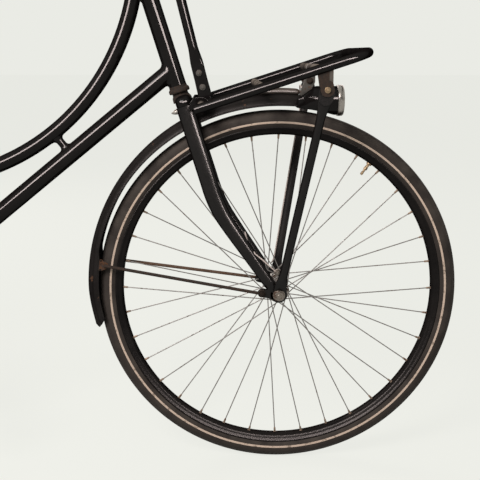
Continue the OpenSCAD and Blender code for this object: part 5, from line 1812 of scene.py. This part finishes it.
def pedal(s):
    """Two ribbed rubber blocks between pressed plates, on a barrel, with a reflector in each block."""
    shape = Shape()
    end = crank_end(s)
    at = Vector((end.x, s * PEDAL_IN, end.z))
    end_x = PEDAL_W / 2 - 8
    outline = hull_outline([(x, z, 6) for z in (6, -6) for x in (-end_x, end_x)], 16)
    for y in (2.0, PEDAL_L - 2.0):
        shape.plate(outline, lambda u, v: at + Vector((u, s * y, v)), LEFT * 3.6, 1)
    for q in (-1, 1):
        rings = []
        for k in range(PEDAL_RIBS * 4 + 1):
            y = 4.2 + (PEDAL_L - 8.4) * k / (PEDAL_RIBS * 4)
            high = 13 if k % 4 in (1, 2) else 11.2
            half = 12 if k % 4 in (1, 2) else 11.4
            rings.append([at + Vector((q * (PEDAL_W / 2 - 12) + u, s * y, v)) for u, v in
                          ((half, high - 3), (half - 3, high), (3 - half, high), (-half, high - 3),
                           (-half, 3 - high), (3 - half, -high), (half - 3, -high), (half, 3 - high))])
        shape.loft(rings)
        mid = at + Vector((q * (PEDAL_W / 2 + 0.2), s * PEDAL_L / 2, 0))
        glass = [(-28, -5.5), (28, -5.5), (28, 5.5), (-28, 5.5)]
        shape.plate(glass, lambda u, v: mid + Vector((0, u, v)), AHEAD * 1.6, 2)
    barrel = [(0, 5.2), (0, 8)] + [(PEDAL_L + h, r) for h, r in ((-3, 8), (-2, 9.4), (1, 9.2), (3, 6), (3.4, 1))]
    shape.lathe(at + LEFT * s, LEFT * s, barrel, 28, 1)
    return shape


CASE_FRONT_R = 100
CASE_REAR_R = 48
CASE_SEAM_Y = 46.0
CASE_FACE_Y = 54.0
# Screws: share of the way to the rear axle, and distance above or below that line.
CASE_SCREWS = ((0.3, 60), (0.3, -60), (0.62, 44), (0.62, -44), (0.9, 30), (0.9, -30))


def case_trim():
    """Rolled seam round the chain case, screws and the crank's collar."""
    shape = Shape()
    run = REAR - CRANK
    outline = hull_outline([(0, 0, CASE_FRONT_R), (run.x, run.z, CASE_REAR_R)], 96)
    rings = []
    count = len(outline)
    for i, (u, v) in enumerate(outline):
        p = CRANK + Vector((u, -CASE_SEAM_Y, v))
        a, b = outline[i - 1], outline[(i + 1) % count]
        d = Vector((b[0] - a[0], 0, b[1] - a[1])).normalized()
        out = d.cross(LEFT)
        rings.append([p + (out * math.cos(t) * 1.6 + LEFT * math.sin(t) * 2.6) for t in turns(10)])
    shape.loft(rings, wrap=True)
    shape.lathe(CRANK - LEFT * CASE_FACE_Y, -LEFT, [(0, 13.0), (0, 24), (1.2, 23.4), (1.6, 13.0)], 48)
    d = run.normalized()
    side = Vector((-d.z, 0, d.x))
    for share, off in CASE_SCREWS:
        shape.dome_bolt(CRANK + run * share + side * off - LEFT * CASE_FACE_Y, -LEFT, 4, 2.2, 1)
    return shape


class BICYCLE_OT_drive(bpy.types.Operator):
    """Cotter pins, ribbed pedals and the chain case's trim"""

    bl_idname = "bicycle.drive"
    bl_label = "Drive"

    def execute(self, context):
        make_piece("crank_fittings", crank_fittings(), "crank", ["dull_zinc"])
        for label, s in SIDES:
            make_piece("pedal_blocks_" + label, pedal(s), "pedal_" + label,
                       ["black_rubber", "dull_zinc", "amber_lens"], [label + "_pedal"], sharp=30)
        make_piece("case_trim", case_trim(), "frame", ["gloss_enamel", "dull_zinc"])
        return {"FINISHED"}


# Rear carrier, rear lamp, brake arm and stand.

CARRIER_EYE = (-34, 56)
BRAKE_Y = 57.4
BRAKE_LEN = 176


def rear_lamp_set():
    """Rear lamp: black back plate and a ribbed red lens with rounded ends."""
    shape = Shape()
    low, high = node_box("rear_lamp")
    middle = (low + high) / 2
    half_w, half_h = (high.y - low.y) / 2, (high.z - low.z) / 2
    base = hull_outline([(-half_w + half_h, 0, half_h), (half_w - half_h, 0, half_h)], 40)

    def ring(x, inset):
        return [Vector((x, u * (1 - inset / half_w), v * (1 - inset / half_h))) + Vector((0, middle.y, middle.z))
                for u, v in base]

    shape.loft([ring(high.x, 2), ring(high.x - 1, 0.4), ring(high.x - 9, 0.0), ring(high.x - 10, 0.8)])
    rows = [(9.6, 1.0), (12, 1.0)] + [(12.5 + 0.9 * k, 1.2 + (k * k) * 0.06) for k in range(10)] + [(21.6, 9)]
    shape.loft([ring(high.x - x, inset) for x, inset in rows], 1)
    return shape


def rear_fittings():
    """Bolts of the rear carrier's struts and the hub brake's arm with its strap."""
    shape = Shape()
    for s in (-1, 1):
        eye = REAR + Vector((CARRIER_EYE[0], 0, CARRIER_EYE[1]))
        shape.hex_bolt(eye + LEFT * s * 65.2, LEFT * s, 5.4, 4, washer=1.3, stud=1.4)
        shape.hex_bolt(eye + LEFT * s * 55.4, -LEFT * s, 5.4, 4)
    along = (CRANK - REAR).normalized()
    down = Vector((along.z, 0, -along.x))
    strap = REAR + along * BRAKE_LEN + LEFT * (BRAKE_Y + 0.2)
    outline = hull_outline([(0, 0, 12), (60, 0, 8), (172, 13, 7)], 32)
    shape.plate(outline, lambda u, v: REAR + along * u + down * v + LEFT * BRAKE_Y, LEFT * 3.0)
    band = [strap + down * a + LEFT * b for a, b in ((13, 1), (4, 8), (-9.4, 2), (-4, -9), (13, -3))]
    shape.tube(resampled(rounded(band, 4, 4), 3), lambda share: (6, 0.9), 10, side=along)
    shape.hex_bolt(strap + down * 13 + LEFT * 2, LEFT, 4.6, 3.6, stud=1)
    return shape


def stand_fittings():
    """Rubber feet on the stand's bar."""
    shape = Shape()
    low, high = node_box("stand_bar")
    middle = (low + high) / 2
    for s in (-1, 1):
        end = Vector((middle.x, s * (high.y - 0.2), middle.z))
        sleeve = [(0, 6.05), (0, 7.0), (1, 7.4), (22, 7.4), (24, 6.6), (24.6, 3)]
        shape.lathe(end - LEFT * s * 24, LEFT * s, sleeve, 32)
    shape.points = [Vector((p.x, p.y, max(p.z, 0.0))) for p in shape.points]
    return shape


class BICYCLE_OT_rear(bpy.types.Operator):
    """Rear lamp, carrier bolts, brake arm and the stand's feet"""

    bl_idname = "bicycle.rear"
    bl_label = "Rear fittings"

    def execute(self, context):
        make_piece("rear_lamp_set", rear_lamp_set(), "frame", ["black_rubber", "red_lens"],
                   ["rear_lamp"], sharp=50)
        make_piece("rear_fittings", rear_fittings(), "frame", ["dull_zinc"], sharp=50)
        make_piece("stand_fittings", stand_fittings(), "stand", ["black_rubber"])
        return {"FINISHED"}


OPERATORS = (
    BICYCLE_OT_finishes, BICYCLE_OT_stage, BICYCLE_OT_wheels, BICYCLE_OT_fork, BICYCLE_OT_mudguards,
    BICYCLE_OT_carrier, BICYCLE_OT_lamp, BICYCLE_OT_frame, BICYCLE_OT_handlebar, BICYCLE_OT_saddle,
    BICYCLE_OT_drive, BICYCLE_OT_rear,
)


class BICYCLE_PT_panel(bpy.types.Panel):
    """Lists the colours, the view and the steps"""

    bl_idname = "BICYCLE_PT_panel"
    bl_label = "Bicycle"
    bl_space_type = "VIEW_3D"
    bl_region_type = "UI"
    bl_category = "Bicycle"

    def draw(self, context):
        column = self.layout.column()
        for settings in (context.scene.bicycle_finish, context.scene.bicycle_view):
            for name in settings.bl_rna.properties.keys():
                if name not in ("rna_type", "name"):
                    column.prop(settings, name)
        for step in OPERATORS:
            column.operator(step.bl_idname)


CLASSES = (BicycleFinish, BicycleView) + OPERATORS + (BICYCLE_PT_panel,)


def register():
    for cls in CLASSES:
        bpy.utils.register_class(cls)
    bpy.types.Scene.bicycle_finish = bpy.props.PointerProperty(type=BicycleFinish)
    bpy.types.Scene.bicycle_view = bpy.props.PointerProperty(type=BicycleView)


def unregister():
    del bpy.types.Scene.bicycle_view
    del bpy.types.Scene.bicycle_finish
    for cls in reversed(CLASSES):
        bpy.utils.unregister_class(cls)


def main():
    register()
    for step in OPERATORS:
        family, name = step.bl_idname.split(".")
        getattr(getattr(bpy.ops, family), name)()


if __name__ == "__main__":
    main()
